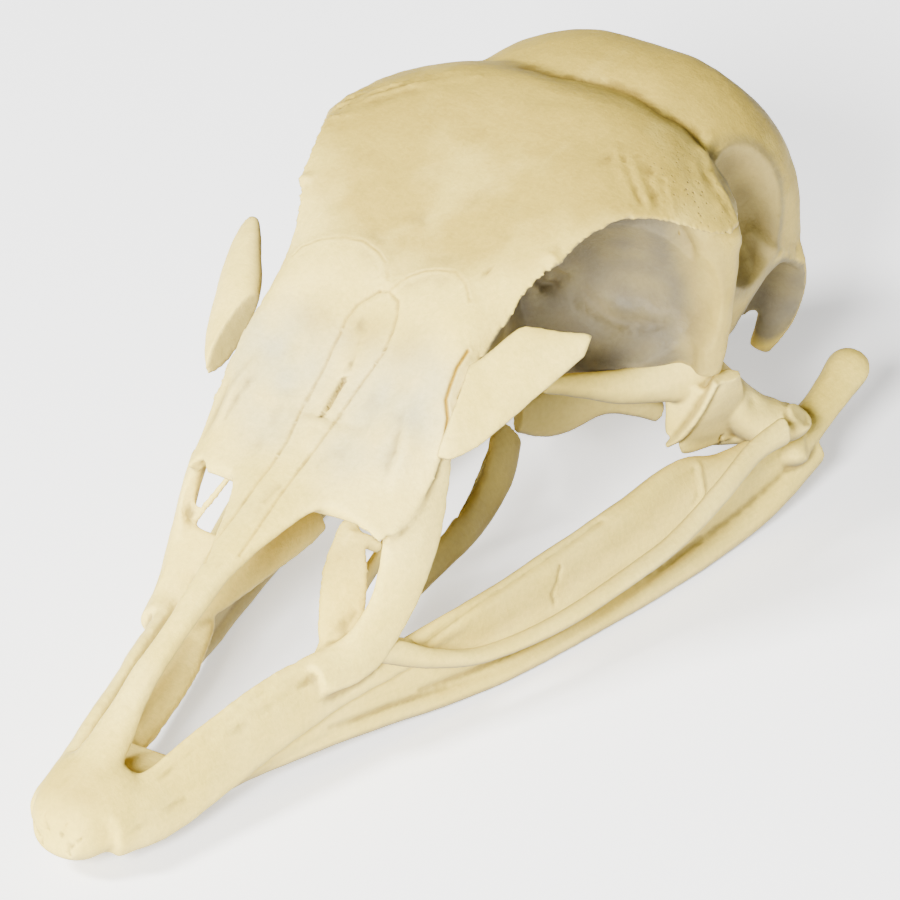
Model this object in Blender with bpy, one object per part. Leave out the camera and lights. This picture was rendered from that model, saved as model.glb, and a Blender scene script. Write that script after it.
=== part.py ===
"""A turkey skull, cleaned and dry: the cranium with its upper beak, the mandible, five bones on each side.

Sizes are in millimetres in the tables below, and at() turns them to metres. X is across the skull, with its
left side at +X. Y runs back from the beak tip. at() also moves the origin to the middle of the skull's length,
on the surface that the mandible rests on.
"""
import math

import bmesh
import bpy
from mathutils import Vector

MM = 0.001
SKULL_MIDDLE = 49.5  # from the beak tip back to the middle of the skull's length, where the origin is
REST_HEIGHT = 1.95  # where the mandible's lower edges are worn flat, the surface it rests on
VOXEL = 0.4 * MM  # fineness of the fused bone before its faces are thinned out
WELD = 1e-7
SNAP = 0.02 * MM
GAP = 0.45  # swelling of the space that one bone leaves for its neighbour
LEFT, RIGHT = 1, -1

# Triangles that each bone keeps
FACES = {
    "cranium": 4800,
    "mandible": 1700,
    "lacrimal": 240,
    "quadrate": 440,
    "pterygoid": 180,
    "palatine": 280,
    "jugal": 260,
}

# Roof of the skull, a curved plate: distance from the beak tip, height at the midline, half width and height
# half way out, half width and height at the margin, and half thickness
ROOF = (
    (33.5, 24.2, 6.0, 24.2, 11.0, 22.5, 0.8),
    (37.0, 26.0, 6.5, 26.4, 12.2, 24.2, 0.8),
    (40.0, 27.7, 6.8, 28.5, 12.6, 27.2, 0.9),
    (43.0, 29.8, 6.5, 30.8, 12.2, 30.8, 1.0),
    (46.0, 32.3, 6.0, 33.4, 11.7, 33.2, 1.1),
    (49.0, 34.9, 5.5, 36.0, 11.6, 34.6, 1.2),
    (52.0, 37.0, 6.0, 37.8, 12.0, 36.4, 1.2),
    (55.0, 38.6, 6.5, 39.2, 13.2, 38.8, 1.1),
    (58.0, 39.9, 7.0, 40.6, 14.2, 40.8, 1.0),
    (61.0, 41.1, 7.6, 41.8, 15.2, 41.9, 1.0),
    (64.0, 42.2, 8.2, 42.8, 16.4, 42.1, 1.0),
    (67.0, 43.1, 9.0, 43.5, 18.3, 41.1, 1.1),
    (70.0, 43.9, 9.8, 43.9, 20.4, 39.3, 1.3),
    (73.0, 44.5, 10.2, 44.0, 21.3, 38.2, 1.4),
    (76.0, 44.6, 10.0, 43.8, 20.2, 38.0, 1.4),
    (79.0, 43.6, 9.5, 43.0, 17.6, 38.0, 1.2),
    (82.0, 42.4, 9.0, 41.6, 14.6, 36.4, 1.0),
    (85.0, 40.6, 8.0, 39.4, 11.6, 34.0, 0.8),
)
# Braincase, rings across the skull: distance back, half width, height of its widest line, top, bottom
BRAINCASE = (
    (67.0, 6.0, 30.0, 39.5, 20.0),
    (70.0, 12.5, 31.0, 42.0, 17.0),
    (74.0, 16.4, 31.0, 43.6, 15.2),
    (78.0, 17.0, 30.0, 43.0, 14.6),
    (81.0, 17.0, 29.5, 42.8, 14.4),
    (85.0, 16.8, 29.0, 43.0, 14.2),
    (89.0, 16.4, 28.5, 42.7, 14.4),
    (92.5, 15.7, 27.5, 41.2, 15.0),
    (95.5, 13.8, 26.5, 37.4, 16.4),
    (97.6, 10.6, 25.0, 32.6, 18.4),
    (98.7, 4.8, 24.0, 28.0, 21.0),
)
BRAINCASE_SQUARENESS = 2.5
# Premaxilla, rings as above, the solid tip of the upper beak
BEAK_TIP = (
    (0.0, 2.4, 6.2, 8.0, 4.3),
    (1.4, 3.4, 6.4, 9.6, 3.8),
    (4.0, 4.3, 6.6, 11.0, 3.7),
    (6.6, 4.8, 6.8, 11.0, 4.4),
    (8.6, 4.9, 7.0, 9.0, 5.2),
    (11.0, 4.6, 7.2, 8.4, 5.9),
    (13.5, 4.2, 7.4, 8.2, 6.6),
)
BEAK_SQUARENESS = 2.6

# Limbs: places along the bone with its half breadth and half thickness there
CULMEN = (
    (0.0, 3.0, 9.3, 2.4, 1.2),
    (0.0, 6.0, 10.4, 2.2, 1.5),
    (0.0, 9.5, 11.6, 1.8, 1.35),
    (0.0, 14.6, 13.7, 1.4, 1.2),
    (0.0, 21.0, 16.4, 1.5, 1.1),
    (0.0, 25.0, 18.6, 2.0, 1.1),
    (0.0, 28.0, 20.3, 3.3, 1.0),
    (0.0, 31.0, 21.9, 5.1, 0.9),
    (0.0, 35.0, 24.3, 6.4, 0.8),
    (0.0, 40.0, 27.2, 6.4, 0.8),
)
MAXILLA = (
    (3.4, 3.0, 6.6, 2.7, 1.4),
    (4.8, 9.0, 6.9, 3.3, 1.15),
    (5.9, 15.0, 8.2, 3.4, 1.1),
    (7.3, 22.0, 9.5, 3.4, 1.05),
    (8.7, 28.0, 10.2, 3.0, 1.0),
    (10.2, 33.0, 10.0, 2.3, 0.9),
    (11.4, 37.0, 9.2, 1.3, 0.7),
)
MAXILLA_BREADTH = (-0.3, 0.0, 1.0)
NASAL_BAR = (
    (8.9, 43.6, 29.9, 1.6, 0.6),
    (10.4, 41.0, 27.3, 2.6, 0.8),
    (11.2, 38.2, 23.0, 3.1, 0.85),
    (11.6, 36.0, 19.0, 2.6, 0.85),
    (11.3, 33.6, 15.2, 2.3, 0.85),
    (10.4, 30.4, 12.2, 2.3, 0.9),
    (9.0, 26.0, 11.4, 1.7, 0.9),
)
PALATE_SHELF = (
    (3.0, 9.0, 7.0, 2.6, 0.8),
    (3.9, 16.0, 7.4, 2.6, 0.8),
    (5.3, 24.0, 8.4, 2.4, 0.7),
    (7.2, 31.0, 9.6, 1.5, 0.7),
)
SHELF_BREADTH = (1.0, 0.0, 0.2)
MAXILLA_LEAF = (
    (9.1, 28.6, 11.0, 1.5, 0.8),
    (7.5, 31.7, 13.4, 2.1, 0.6),
    (6.1, 34.3, 16.0, 2.3, 0.5),
    (5.1, 36.4, 18.4, 1.8, 0.45),
    (4.3, 37.8, 20.2, 0.8, 0.45),
)
MAXILLA_LOBE = (
    (7.4, 28.0, 11.0, 1.6, 0.7),
    (5.8, 34.0, 12.2, 1.9, 0.6),
    (4.6, 40.0, 13.4, 1.9, 0.55),
    (3.8, 44.5, 14.2, 1.5, 0.55),
)
SEPTUM = (
    (0.0, 47.0, 27.0, 4.8, 0.7),
    (0.0, 52.0, 27.6, 7.9, 0.7),
    (0.0, 60.0, 28.2, 10.8, 0.7),
    (0.0, 69.0, 28.5, 12.0, 1.2),
)
ROSTRUM = (
    (0.0, 44.0, 19.0, 0.9, 0.9),
    (0.0, 52.0, 18.4, 1.6, 1.4),
    (0.0, 58.0, 17.8, 2.1, 2.0),
    (0.0, 64.0, 17.8, 2.3, 2.3),
    (0.0, 72.0, 18.0, 2.8, 2.6),
    (0.0, 80.0, 18.0, 3.4, 3.0),
)
POSTORBITAL = (
    (15.8, 75.2, 38.0, 4.4, 2.0),
    (18.8, 75.0, 34.0, 4.0, 1.7),
    (18.8, 75.2, 27.0, 2.8, 1.4),
    (18.0, 75.3, 20.6, 1.6, 1.2),
)
POSTORBITAL_WALL = (
    (15.4, 76.4, 36.0, 2.6, 1.6),
    (16.0, 76.4, 30.0, 2.6, 1.5),
    (15.8, 76.4, 24.5, 2.4, 1.3),
    (15.8, 76.3, 21.0, 1.7, 1.0),
)
SQUAMOSAL_KNOB = (
    (13.2, 87.5, 30.0, 2.2, 1.8),
    (14.3, 90.2, 26.5, 1.5, 1.3),
    (14.7, 91.4, 24.0, 0.9, 0.9),
)
PAROCCIPITAL = (
    (14.3, 91.8, 24.6, 1.9, 1.1),
    (14.1, 92.8, 20.8, 2.1, 1.1),
    (13.1, 92.9, 16.8, 1.8, 1.0),
    (12.0, 91.4, 13.4, 1.1, 0.7),
)
CONDYLE = ((0, 94.5, 19.0, 2.0, 1.7), (0, 98.2, 18.6, 1.5, 1.4))

RAMUS_PLATE = (
    (2.4, 6.0, 5.0, 1.1, 1.2),
    (4.6, 14.0, 5.2, 1.6, 1.1),
    (7.4, 24.0, 5.8, 1.9, 0.9),
    (9.6, 33.0, 6.2, 2.8, 0.8),
    (12.6, 44.0, 6.5, 3.9, 0.75),
    (15.0, 56.0, 6.9, 4.4, 0.75),
    (17.0, 69.0, 7.6, 4.6, 0.75),
    (18.2, 80.0, 7.4, 3.2, 1.1),
    (18.6, 87.0, 7.8, 2.4, 1.6),
)
RAMUS_UPPER_RIM = (
    (2.6, 7.0, 5.6, 0.9, 0.9),
    (4.8, 18.0, 6.0, 1.0, 0.9),
    (7.0, 26.0, 6.9, 1.0, 0.9),
    (9.0, 33.0, 8.2, 1.1, 0.9),
    (10.8, 38.0, 9.1, 1.2, 1.0),
    (12.4, 45.0, 9.6, 1.2, 1.0),
    (14.0, 54.0, 10.3, 1.2, 1.0),
    (15.5, 64.0, 11.1, 1.2, 1.0),
    (16.4, 71.5, 11.8, 1.1, 0.9),
    (17.4, 76.6, 10.1, 1.2, 1.1),
    (18.3, 84.0, 8.8, 1.6, 1.4),
)
RAMUS_LOWER_RIM = (
    (2.4, 6.0, 4.6, 0.9, 0.9),
    (5.5, 18.0, 4.7, 1.0, 1.0),
    (8.8, 30.0, 4.2, 1.1, 1.1),
    (12.3, 42.0, 3.1, 1.2, 1.2),
    (14.3, 50.0, 2.9, 1.3, 1.3),
    (16.2, 60.0, 2.9, 1.3, 1.3),
    (17.5, 69.0, 3.0, 1.4, 1.4),
    (18.3, 77.0, 3.4, 1.65, 1.5),
    (18.9, 83.0, 4.6, 1.85, 1.7),
    (18.9, 89.0, 6.5, 2.1, 2.0),
)
ARTICULAR = (
    (14.8, 84.0, 8.2, 1.3, 1.2),
    (17.4, 85.0, 8.2, 2.2, 1.7),
    (19.8, 86.0, 8.4, 2.3, 1.8),
    (20.6, 86.4, 8.6, 1.4, 1.2),
)
RETROARTICULAR = (
    (18.7, 86.0, 8.0, 2.1, 2.2),
    (18.6, 91.0, 8.9, 1.6, 1.8),
    (18.4, 94.6, 9.8, 1.6, 1.9),
    (18.2, 97.2, 10.6, 1.8, 2.1),
    (18.1, 98.5, 10.9, 1.3, 1.5),
)
SYMPHYSIS = (
    (0.0, 2.6, 5.2, 1.4, 0.8),
    (0.0, 5.0, 5.0, 2.6, 1.0),
    (0.0, 9.0, 4.8, 3.2, 1.0),
    (0.0, 13.0, 4.8, 3.0, 0.8),
)
INSIDE_BEAK = 2  # rows of each ramus that lie inside the upper beak

LACRIMAL = (
    (11.8, 43.2, 30.1, 4.7, 0.8),
    (14.0, 46.6, 31.3, 5.0, 0.8),
    (15.9, 50.5, 33.0, 4.4, 0.75),
    (17.5, 53.1, 33.9, 3.2, 0.65),
    (18.6, 54.8, 34.0, 1.9, 0.5),
)
LACRIMAL_BREADTH = (0.12, -0.76, -0.64)

QUADRATE_BODY = (
    (13.0, 79.4, 24.2, 1.5, 1.3),
    (13.4, 78.6, 20.6, 1.6, 1.3),
    (15.1, 79.2, 17.0, 2.0, 1.7),
    (17.0, 81.8, 13.0, 2.3, 2.1),
    (18.1, 83.6, 11.4, 2.3, 2.4),
)
QUADRATE_ORBITAL = (
    (8.6, 65.8, 21.2, 1.2, 0.6),
    (10.8, 70.0, 19.6, 1.7, 0.9),
    (13.2, 73.8, 19.2, 2.3, 1.0),
    (15.8, 78.2, 19.2, 3.6, 1.1),
)
QUADRATE_SHOULDER = (
    (11.4, 72.4, 19.6, 1.4, 0.9),
    (13.0, 75.4, 20.7, 2.0, 1.0),
    (13.8, 78.2, 21.6, 2.1, 1.1),
)
QUADRATE_CREST = (
    (17.6, 76.0, 19.4, 0.5, 0.4),
    (16.2, 75.5, 16.4, 1.1, 0.35),
    (14.6, 74.9, 13.6, 0.9, 0.35),
    (13.2, 74.4, 12.0, 0.4, 0.3),
)
QUADRATE_WEB = (
    (17.8, 77.4, 19.4, 1.4, 0.75),
    (16.4, 77.8, 15.2, 2.9, 0.75),
    (15.4, 78.2, 12.3, 3.3, 0.7),
    (15.2, 78.3, 10.9, 3.0, 0.55),
)
QUADRATE_WING = (
    (15.1, 75.8, 18.4, 2.5, 0.5),
    (14.4, 75.4, 15.6, 1.8, 0.45),
    (13.6, 74.9, 12.9, 0.8, 0.4),
)
QUADRATE_CONDYLES = (
    (13.8, 80.2, 10.8, 1.4, 1.2),
    (16.4, 82.6, 10.9, 2.0, 1.4),
    (19.8, 84.6, 11.6, 2.2, 1.8),
    (20.6, 85.0, 12.4, 1.2, 1.2),
)

PTERYGOID = (
    (3.4, 65.0, 16.7, 1.7, 0.9),
    (5.1, 68.4, 15.7, 2.2, 0.8),
    (8.0, 71.8, 16.2, 1.3, 0.8),
    (10.0, 74.2, 15.4, 1.2, 0.9),
    (11.4, 76.0, 14.2, 1.0, 0.8),
)
PALATINE = (
    (7.2, 34.0, 11.0, 0.9, 0.5),
    (7.6, 39.0, 11.5, 1.1, 0.6),
    (7.6, 44.5, 12.3, 1.3, 0.6),
    (7.1, 50.1, 12.7, 1.5, 0.6),
    (5.8, 55.7, 13.1, 2.0, 0.6),
    (4.6, 60.2, 14.1, 2.1, 0.7),
    (3.4, 63.6, 15.7, 1.8, 0.8),
)
JUGAL = (
    (10.3, 28.4, 12.4, 0.5, 0.4),
    (11.3, 32.0, 11.8, 1.4, 0.5),
    (13.2, 37.2, 9.1, 1.0, 0.55),
    (15.2, 42.5, 7.4, 0.8, 0.7),
    (17.8, 50.2, 7.5, 0.9, 0.7),
    (19.6, 58.4, 8.5, 0.9, 0.8),
    (20.6, 64.6, 9.4, 1.0, 0.8),
    (21.1, 71.0, 11.2, 1.1, 0.8),
    (21.1, 76.8, 12.7, 1.2, 0.8),
    (21.8, 80.8, 13.2, 1.5, 0.8),
)

# Hollows, ellipsoids: centre and half sizes
ORBIT = ((18.6, 61.6, 28.2), (17.6, 13.2, 12.5))
TEMPORAL_FOSSA = ((20.6, 83.4, 33.6), (7.9, 6.2, 9.4))
TYMPANIC_CAVITY = ((16.4, 88.0, 19.2), (6.8, 5.6, 5.8))
FORAMEN_MAGNUM = ((0, 99.0, 23.6), (2.9, 4.5, 2.7))
SEPTUM_WINDOW = ((0, 69.0, 29.6), (3.0, 1.6, 2.4))

IVORY = (0.86, 0.79, 0.62, 1)
TAN = (0.80, 0.70, 0.49, 1)
PALE = (0.83, 0.80, 0.70, 1)


def at(x, y, z, side=LEFT):
    return Vector((side * x, y - SKULL_MIDDLE, z - REST_HEIGHT)) * MM


def smooth(rows, t):
    """Where t, from 0 to 1, falls on the smooth curve through rows of numbers."""
    span = t * (len(rows) - 1)
    i = min(int(span), len(rows) - 2)
    u = span - i
    here, ahead = Vector(rows[i]), Vector(rows[i + 1])
    before = Vector(rows[i - 1]) if i else 2 * here - ahead
    after = Vector(rows[i + 2]) if i + 2 < len(rows) else 2 * ahead - here
    bend = (2 * before - 5 * here + 4 * ahead - after) * u * u
    swing = (3 * here - before - 3 * ahead + after) * u * u * u
    return 0.5 * (2 * here + (ahead - before) * u + bend + swing)


def skin(surface, around, along):
    """A closed skin: a grid rolled up by surface(turn, t), its seam merged and its two ends filled."""
    mesh = bmesh.new()
    bmesh.ops.create_grid(mesh, x_segments=around, y_segments=along, size=0.5)
    for vert in mesh.verts:
        vert.co = surface(vert.co.x + 0.5, vert.co.y + 0.5)
    bmesh.ops.remove_doubles(mesh, verts=mesh.verts, dist=WELD)
    bmesh.ops.holes_fill(mesh, edges=mesh.edges)
    bmesh.ops.recalc_face_normals(mesh, faces=mesh.faces)
    return mesh


def limb(rows, breadth=(0, 0, 1), side=LEFT, swell=0, square=True):
    """A bar, strap or blade along rows of (x, y, z, half breadth, half thickness), broad along breadth.

    Its sections are square to its course, or as slanted as breadth is.
    """

    def surface(turn, t):
        x, y, z, broad, thick = smooth(rows, t)
        course = (smooth(rows, t + 0.01) - smooth(rows, t - 0.01)) if 0.01 < t < 0.99 else end_course(rows, t)
        course = Vector(course[:3]).normalized()
        width = Vector(breadth).normalized()
        if square:
            width = (width - course * width.dot(course)).normalized()
        depth = course.cross(width).normalized()
        angle = 2 * math.pi * turn
        reach = course * swell * (2 * t - 1)
        out = width * (broad + swell) * math.cos(angle) + depth * (thick + swell) * math.sin(angle) + reach
        return at(x + out.x, y + out.y, z + out.z, side)

    return skin(surface, 20, 6 * (len(rows) - 1))


def end_course(rows, t):
    return Vector(rows[1]) - Vector(rows[0]) if t < 0.5 else Vector(rows[-1]) - Vector(rows[-2])


def rings(rows, squareness):
    """A rounded body through rows of (y, half width, height of the widest line, top, bottom)."""

    def surface(turn, t):
        y, width, middle, top, bottom = smooth(rows, t)
        angle = 2 * math.pi * turn
        across = math.copysign(abs(math.cos(angle)) ** (2 / squareness), math.cos(angle))
        up = abs(math.sin(angle)) ** (2 / squareness)
        height = middle + (top - middle) * up if math.sin(angle) > 0 else middle - (middle - bottom) * up
        return at(width * across, y, height)

    return skin(surface, 48, 5 * (len(rows) - 1))


def roof():
    """The plate of the nasal and frontal bones, arched across by its three heights."""

    def surface(turn, t):
        y, ridge, inner, inner_height, margin, margin_height, thick = smooth(ROOF, t)
        angle = 2 * math.pi * turn
        x = margin * math.cos(angle)
        share = (x / margin) ** 2
        inner_share = (inner / margin) ** 2
        # Height as ridge + a share + b share squared, through the inner and the margin heights
        b = ((inner_height - ridge) / inner_share - (margin_height - ridge)) / (inner_share - 1)
        a = margin_height - ridge - b
        height = ridge + a * share + b * share * share
        return at(x, y, height - thick + thick * math.sin(angle))

    return skin(surface, 56, 48)


def ellipsoid(centre, half_sizes, side=LEFT):
    mesh = bmesh.new()
    bmesh.ops.create_icosphere(mesh, subdivisions=4, radius=1)
    bmesh.ops.scale(mesh, vec=Vector(half_sizes) * MM, verts=mesh.verts)
    bmesh.ops.translate(mesh, vec=at(*centre, side), verts=mesh.verts)
    return mesh


def both(form, *values, **options):
    return [form(*values, side=side, **options) for side in (LEFT, RIGHT)]


def joined(name, forms):
    """One object with all the forms in it, still as separate closed skins."""
    mesh = bpy.data.meshes.new(name)
    whole = bmesh.new()
    for form in forms:
        form.to_mesh(mesh)
        form.free()
        whole.from_mesh(mesh)
    whole.to_mesh(mesh)
    whole.free()
    thing = bpy.data.objects.new(name, mesh)
    bpy.context.collection.objects.link(thing)
    return thing


def modify(thing, kind, **settings):
    modifier = thing.modifiers.new(kind.title(), kind)
    for setting, value in settings.items():
        setattr(modifier, setting, value)


def settle(thing):
    """The mesh as its modifiers leave it, in place of them."""
    bpy.context.view_layer.update()
    mesh = bpy.data.meshes.new_from_object(thing.evaluated_get(bpy.context.evaluated_depsgraph_get()))
    thing.modifiers.clear()
    thing.data = mesh
    mesh.calc_loop_triangles()
    return len(mesh.loop_triangles)


def fuse(thing, voxel=VOXEL, rounds=3):
    modify(thing, "REMESH", mode="VOXEL", voxel_size=voxel)
    modify(thing, "SMOOTH", factor=0.5, iterations=rounds)
    settle(thing)


def cut(thing, name, forms):
    """Takes the forms, fused to one cutter, out of the thing."""
    cutter = joined(name, forms)
    fuse(cutter, voxel=1.2 * VOXEL, rounds=1)
    cutter.hide_render = True
    cutter.display_type = "WIRE"
    modify(thing, "BOOLEAN", operation="DIFFERENCE", solver="EXACT", object=cutter)


def largest(thing):
    """Keeps the biggest body of the thing and drops the crumbs that cutting left."""
    mesh = bmesh.new()
    mesh.from_mesh(thing.data)
    unseen, bodies = set(mesh.verts), []
    while unseen:
        body, edge = set(), [unseen.pop()]
        while edge:
            vert = edge.pop()
            body.add(vert)
            for link in vert.link_edges:
                other = link.other_vert(vert)
                if other in unseen:
                    unseen.remove(other)
                    edge.append(other)
        bodies.append(body)
    bodies.sort(key=len)
    for body in bodies[:-1]:
        bmesh.ops.delete(mesh, geom=list(body), context="VERTS")
    mesh.to_mesh(thing.data)
    mesh.free()


def flatten_below(thing):
    """Takes off what is under the origin's height, so that the thing rests on flat faces."""
    mesh = bmesh.new()
    mesh.from_mesh(thing.data)
    everything = list(mesh.verts) + list(mesh.edges) + list(mesh.faces)
    bmesh.ops.bisect_plane(
        mesh, geom=everything, dist=SNAP, plane_co=(0, 0, 0), plane_no=(0, 0, 1), clear_inner=True
    )
    for vert in mesh.verts:
        if vert.co.z < SNAP:
            vert.co.z = 0
    bmesh.ops.holes_fill(mesh, edges=mesh.edges)
    bmesh.ops.recalc_face_normals(mesh, faces=mesh.faces)
    mesh.to_mesh(thing.data)
    mesh.free()


def bone(name, forms, hollows=(), neighbours=(), kind=None, colour=IVORY):
    """Fuses the forms to one bone, takes out its hollows and its neighbours' room, and thins out its faces."""
    thing = joined(name, forms)
    fuse(thing)
    if hollows or neighbours:
        cut(thing, name + "_hollows", list(hollows) + list(neighbours))
        fuse(thing, rounds=2)
        largest(thing)
    triangles = settle(thing)
    modify(thing, "DECIMATE", ratio=FACES[kind or name] / triangles)
    material = bpy.data.materials.new(name + "_bone")
    material.use_nodes = True
    shader = material.node_tree.nodes["Principled BSDF"]
    shader.inputs["Base Color"].default_value = colour
    shader.inputs["Roughness"].default_value = 0.5
    thing.data.materials.append(material)
    thing.data.shade_smooth()
    return thing


def jugal(side, swell=0):
    return limb(JUGAL, side=side, swell=swell)


def lacrimal(side, swell=0):
    return limb(LACRIMAL, breadth=LACRIMAL_BREADTH, side=side, swell=swell, square=False)


def quadrate(side, swell=0):
    return [
        limb(QUADRATE_BODY, breadth=(0, 1, 0), side=side, swell=swell),
        limb(QUADRATE_ORBITAL, side=side, swell=swell),
        limb(QUADRATE_SHOULDER, side=side, swell=swell),
        limb(QUADRATE_CREST, breadth=(0.5, -0.8, 0), side=side, swell=swell),
        limb(QUADRATE_WEB, breadth=(0.36, 0.92, -0.18), side=side, swell=swell),
        limb(QUADRATE_WING, breadth=(0.9, 0.35, 0.2), side=side, swell=swell),
        limb(QUADRATE_CONDYLES, breadth=(0, 1, 0), side=side, swell=swell),
    ]


def palatine(side, swell=0):
    return limb(PALATINE, breadth=(-0.5, 0, 1), side=side, swell=swell)


def pterygoid(side, swell=0):
    return limb(PTERYGOID, breadth=(0, 0, 1), side=side, swell=swell)


def make_cranium():
    forms = [roof(), rings(BRAINCASE, BRAINCASE_SQUARENESS), rings(BEAK_TIP, BEAK_SQUARENESS)]
    forms += [limb(CULMEN, breadth=(1, 0, 0)), limb(SEPTUM), limb(ROSTRUM), limb(CONDYLE, breadth=(1, 0, 0))]
    for rows, breadth in (
        (MAXILLA, MAXILLA_BREADTH), (NASAL_BAR, (0.5, 0.83, -0.25)), (PALATE_SHELF, SHELF_BREADTH),
        (MAXILLA_LEAF, (0.7, 0.7, 0)), (MAXILLA_LOBE, (0.3, 0, 1)), (POSTORBITAL, (0, 1, 0)),
        (POSTORBITAL_WALL, (1, 0, 0)), (SQUAMOSAL_KNOB, (0, 1, 0)), (PAROCCIPITAL, (0.8, 0.6, 0)),
    ):
        forms += both(limb, rows, breadth)
    hollows = [ellipsoid(*FORAMEN_MAGNUM), ellipsoid(*SEPTUM_WINDOW)]
    for hollow in (ORBIT, TEMPORAL_FOSSA, TYMPANIC_CAVITY):
        hollows += both(ellipsoid, *hollow)
    neighbours = []
    for side in (LEFT, RIGHT):
        neighbours += quadrate(side, GAP)
        neighbours += [jugal(side, GAP), lacrimal(side, GAP), palatine(side, GAP), pterygoid(side, GAP)]
    neighbours += [limb(SYMPHYSIS, breadth=(1, 0, 0), swell=GAP)]
    for rows in (RAMUS_PLATE, RAMUS_UPPER_RIM, RAMUS_LOWER_RIM):
        neighbours += both(limb, rows[:INSIDE_BEAK], swell=GAP)
    bone("cranium", forms, hollows, neighbours)


def make_mandible():
    forms = [limb(SYMPHYSIS, breadth=(1, 0, 0))]
    for rows, breadth in (
        (RAMUS_PLATE, (0, 0, 1)), (RAMUS_UPPER_RIM, (0, 0, 1)), (RAMUS_LOWER_RIM, (0, 0, 1)),
        (ARTICULAR, (0, 1, 0)), (RETROARTICULAR, (0, 0, 1)),
    ):
        forms += both(limb, rows, breadth)
    neighbours = quadrate(LEFT, GAP) + quadrate(RIGHT, GAP)
    neighbours += both(limb, MAXILLA, MAXILLA_BREADTH, swell=GAP)
    neighbours += both(limb, PALATE_SHELF, SHELF_BREADTH, swell=GAP)
    mandible = bone("mandible", forms, neighbours=neighbours, colour=TAN)
    settle(mandible)
    flatten_below(mandible)


def make_side(side, end):
    bone("lacrimal" + end, [lacrimal(side)], kind="lacrimal", colour=TAN)
    bone("quadrate" + end, quadrate(side), kind="quadrate")
    bone("jugal" + end, [jugal(side)], neighbours=quadrate(side, GAP), kind="jugal")
    bone("palatine" + end, [palatine(side)], kind="palatine", colour=PALE)
    rooms = quadrate(side, GAP) + [palatine(side, GAP)]
    bone("pterygoid" + end, [pterygoid(side)], neighbours=rooms, kind="pterygoid", colour=PALE)


def main():
    for thing in list(bpy.data.objects):
        bpy.data.objects.remove(thing)
    make_cranium()
    make_mandible()
    make_side(LEFT, "_left")
    make_side(RIGHT, "_right")


main()
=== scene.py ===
"""A turkey skull, cleaned and dry, on a pale floor: twelve bones, a stage and a camera.

Sizes in the tables are in millimetres of the skull's own frame: X to its left, Y back from the beak tip and
Z up. at() moves them to the part's frame. Lines named in pixels are places in the 900 x 900 photograph, and
on_bone() finds them on the surface of the bone by looking through the same camera.
"""

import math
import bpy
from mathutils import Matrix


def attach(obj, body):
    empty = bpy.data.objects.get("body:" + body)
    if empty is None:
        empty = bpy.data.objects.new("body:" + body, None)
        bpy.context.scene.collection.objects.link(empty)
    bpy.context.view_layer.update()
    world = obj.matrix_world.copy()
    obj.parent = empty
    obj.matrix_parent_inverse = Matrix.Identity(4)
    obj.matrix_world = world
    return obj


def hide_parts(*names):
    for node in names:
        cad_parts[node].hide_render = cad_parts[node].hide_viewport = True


bl_info = {
    "name": "Turkey Skull",
    "version": (1, 0, 0),
    "blender": (4, 5, 0),
    "location": "View3D > Sidebar > Skull",
    "description": "Builds the bones of a dry turkey skull with their seams, ridges and pores",
    "category": "Add Mesh",
}

import bmesh
import bpy
import numpy as np
from bpy.props import FloatProperty, IntProperty, PointerProperty, StringProperty
from mathutils import Matrix, Vector, noise
from mathutils.bvhtree import BVHTree

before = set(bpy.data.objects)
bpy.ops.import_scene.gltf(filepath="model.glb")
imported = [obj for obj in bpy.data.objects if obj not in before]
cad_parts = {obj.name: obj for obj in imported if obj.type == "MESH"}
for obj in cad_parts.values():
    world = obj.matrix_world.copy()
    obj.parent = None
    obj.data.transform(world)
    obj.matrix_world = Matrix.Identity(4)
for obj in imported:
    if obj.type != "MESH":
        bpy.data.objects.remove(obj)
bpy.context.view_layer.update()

MM = 0.001
SKULL_MIDDLE = 49.5
REST_HEIGHT = 1.95
LEFT, RIGHT = 1, -1
SIDES = ((LEFT, "left"), (RIGHT, "right"))
WELD = 1e-7
COARSE = 0.32 * MM

# The photograph's view: degrees round and above the skull, roll, and millimetres to the point looked at
AZIMUTH = math.radians(35.497)
ELEVATION = math.radians(30.894)
ROLL = math.radians(-1.396)
DISTANCE = 633.62
LOOKED_AT = (43.255, -1.431, 59.486)
FOCAL_PIXELS = 8037.1
PHOTO_SIDE = 900
SENSOR = 36

# Lamps: name, place and size in metres, and power in watts
LAMPS = (
    ("key_light", (-0.34, -0.6, 0.72), 0.2, 21.0),
    ("fill_light", (0.28, -0.82, 0.5), 0.24, 34.0),
)
LIT_PLACE = Vector((0, 0, 0.02))
WORLD_STRENGTH = 0.05
FLOOR_GLOW = 0.9
FLOOR_HALF_SIDE = 1.5
FLOOR_DROP = 0.2 * MM
# Colours that the sidebar doesn't offer, as sRGB hex values
WHITE = "FFFFFF"
# Brown painted shade at the bottom of pores
PORE_SHADE_BROWN = "7A6644"
# Painted shade, near black-brown, inside holes, slits and cracks
HOLE_SHADE_BROWN = "3A2D1E"

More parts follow.
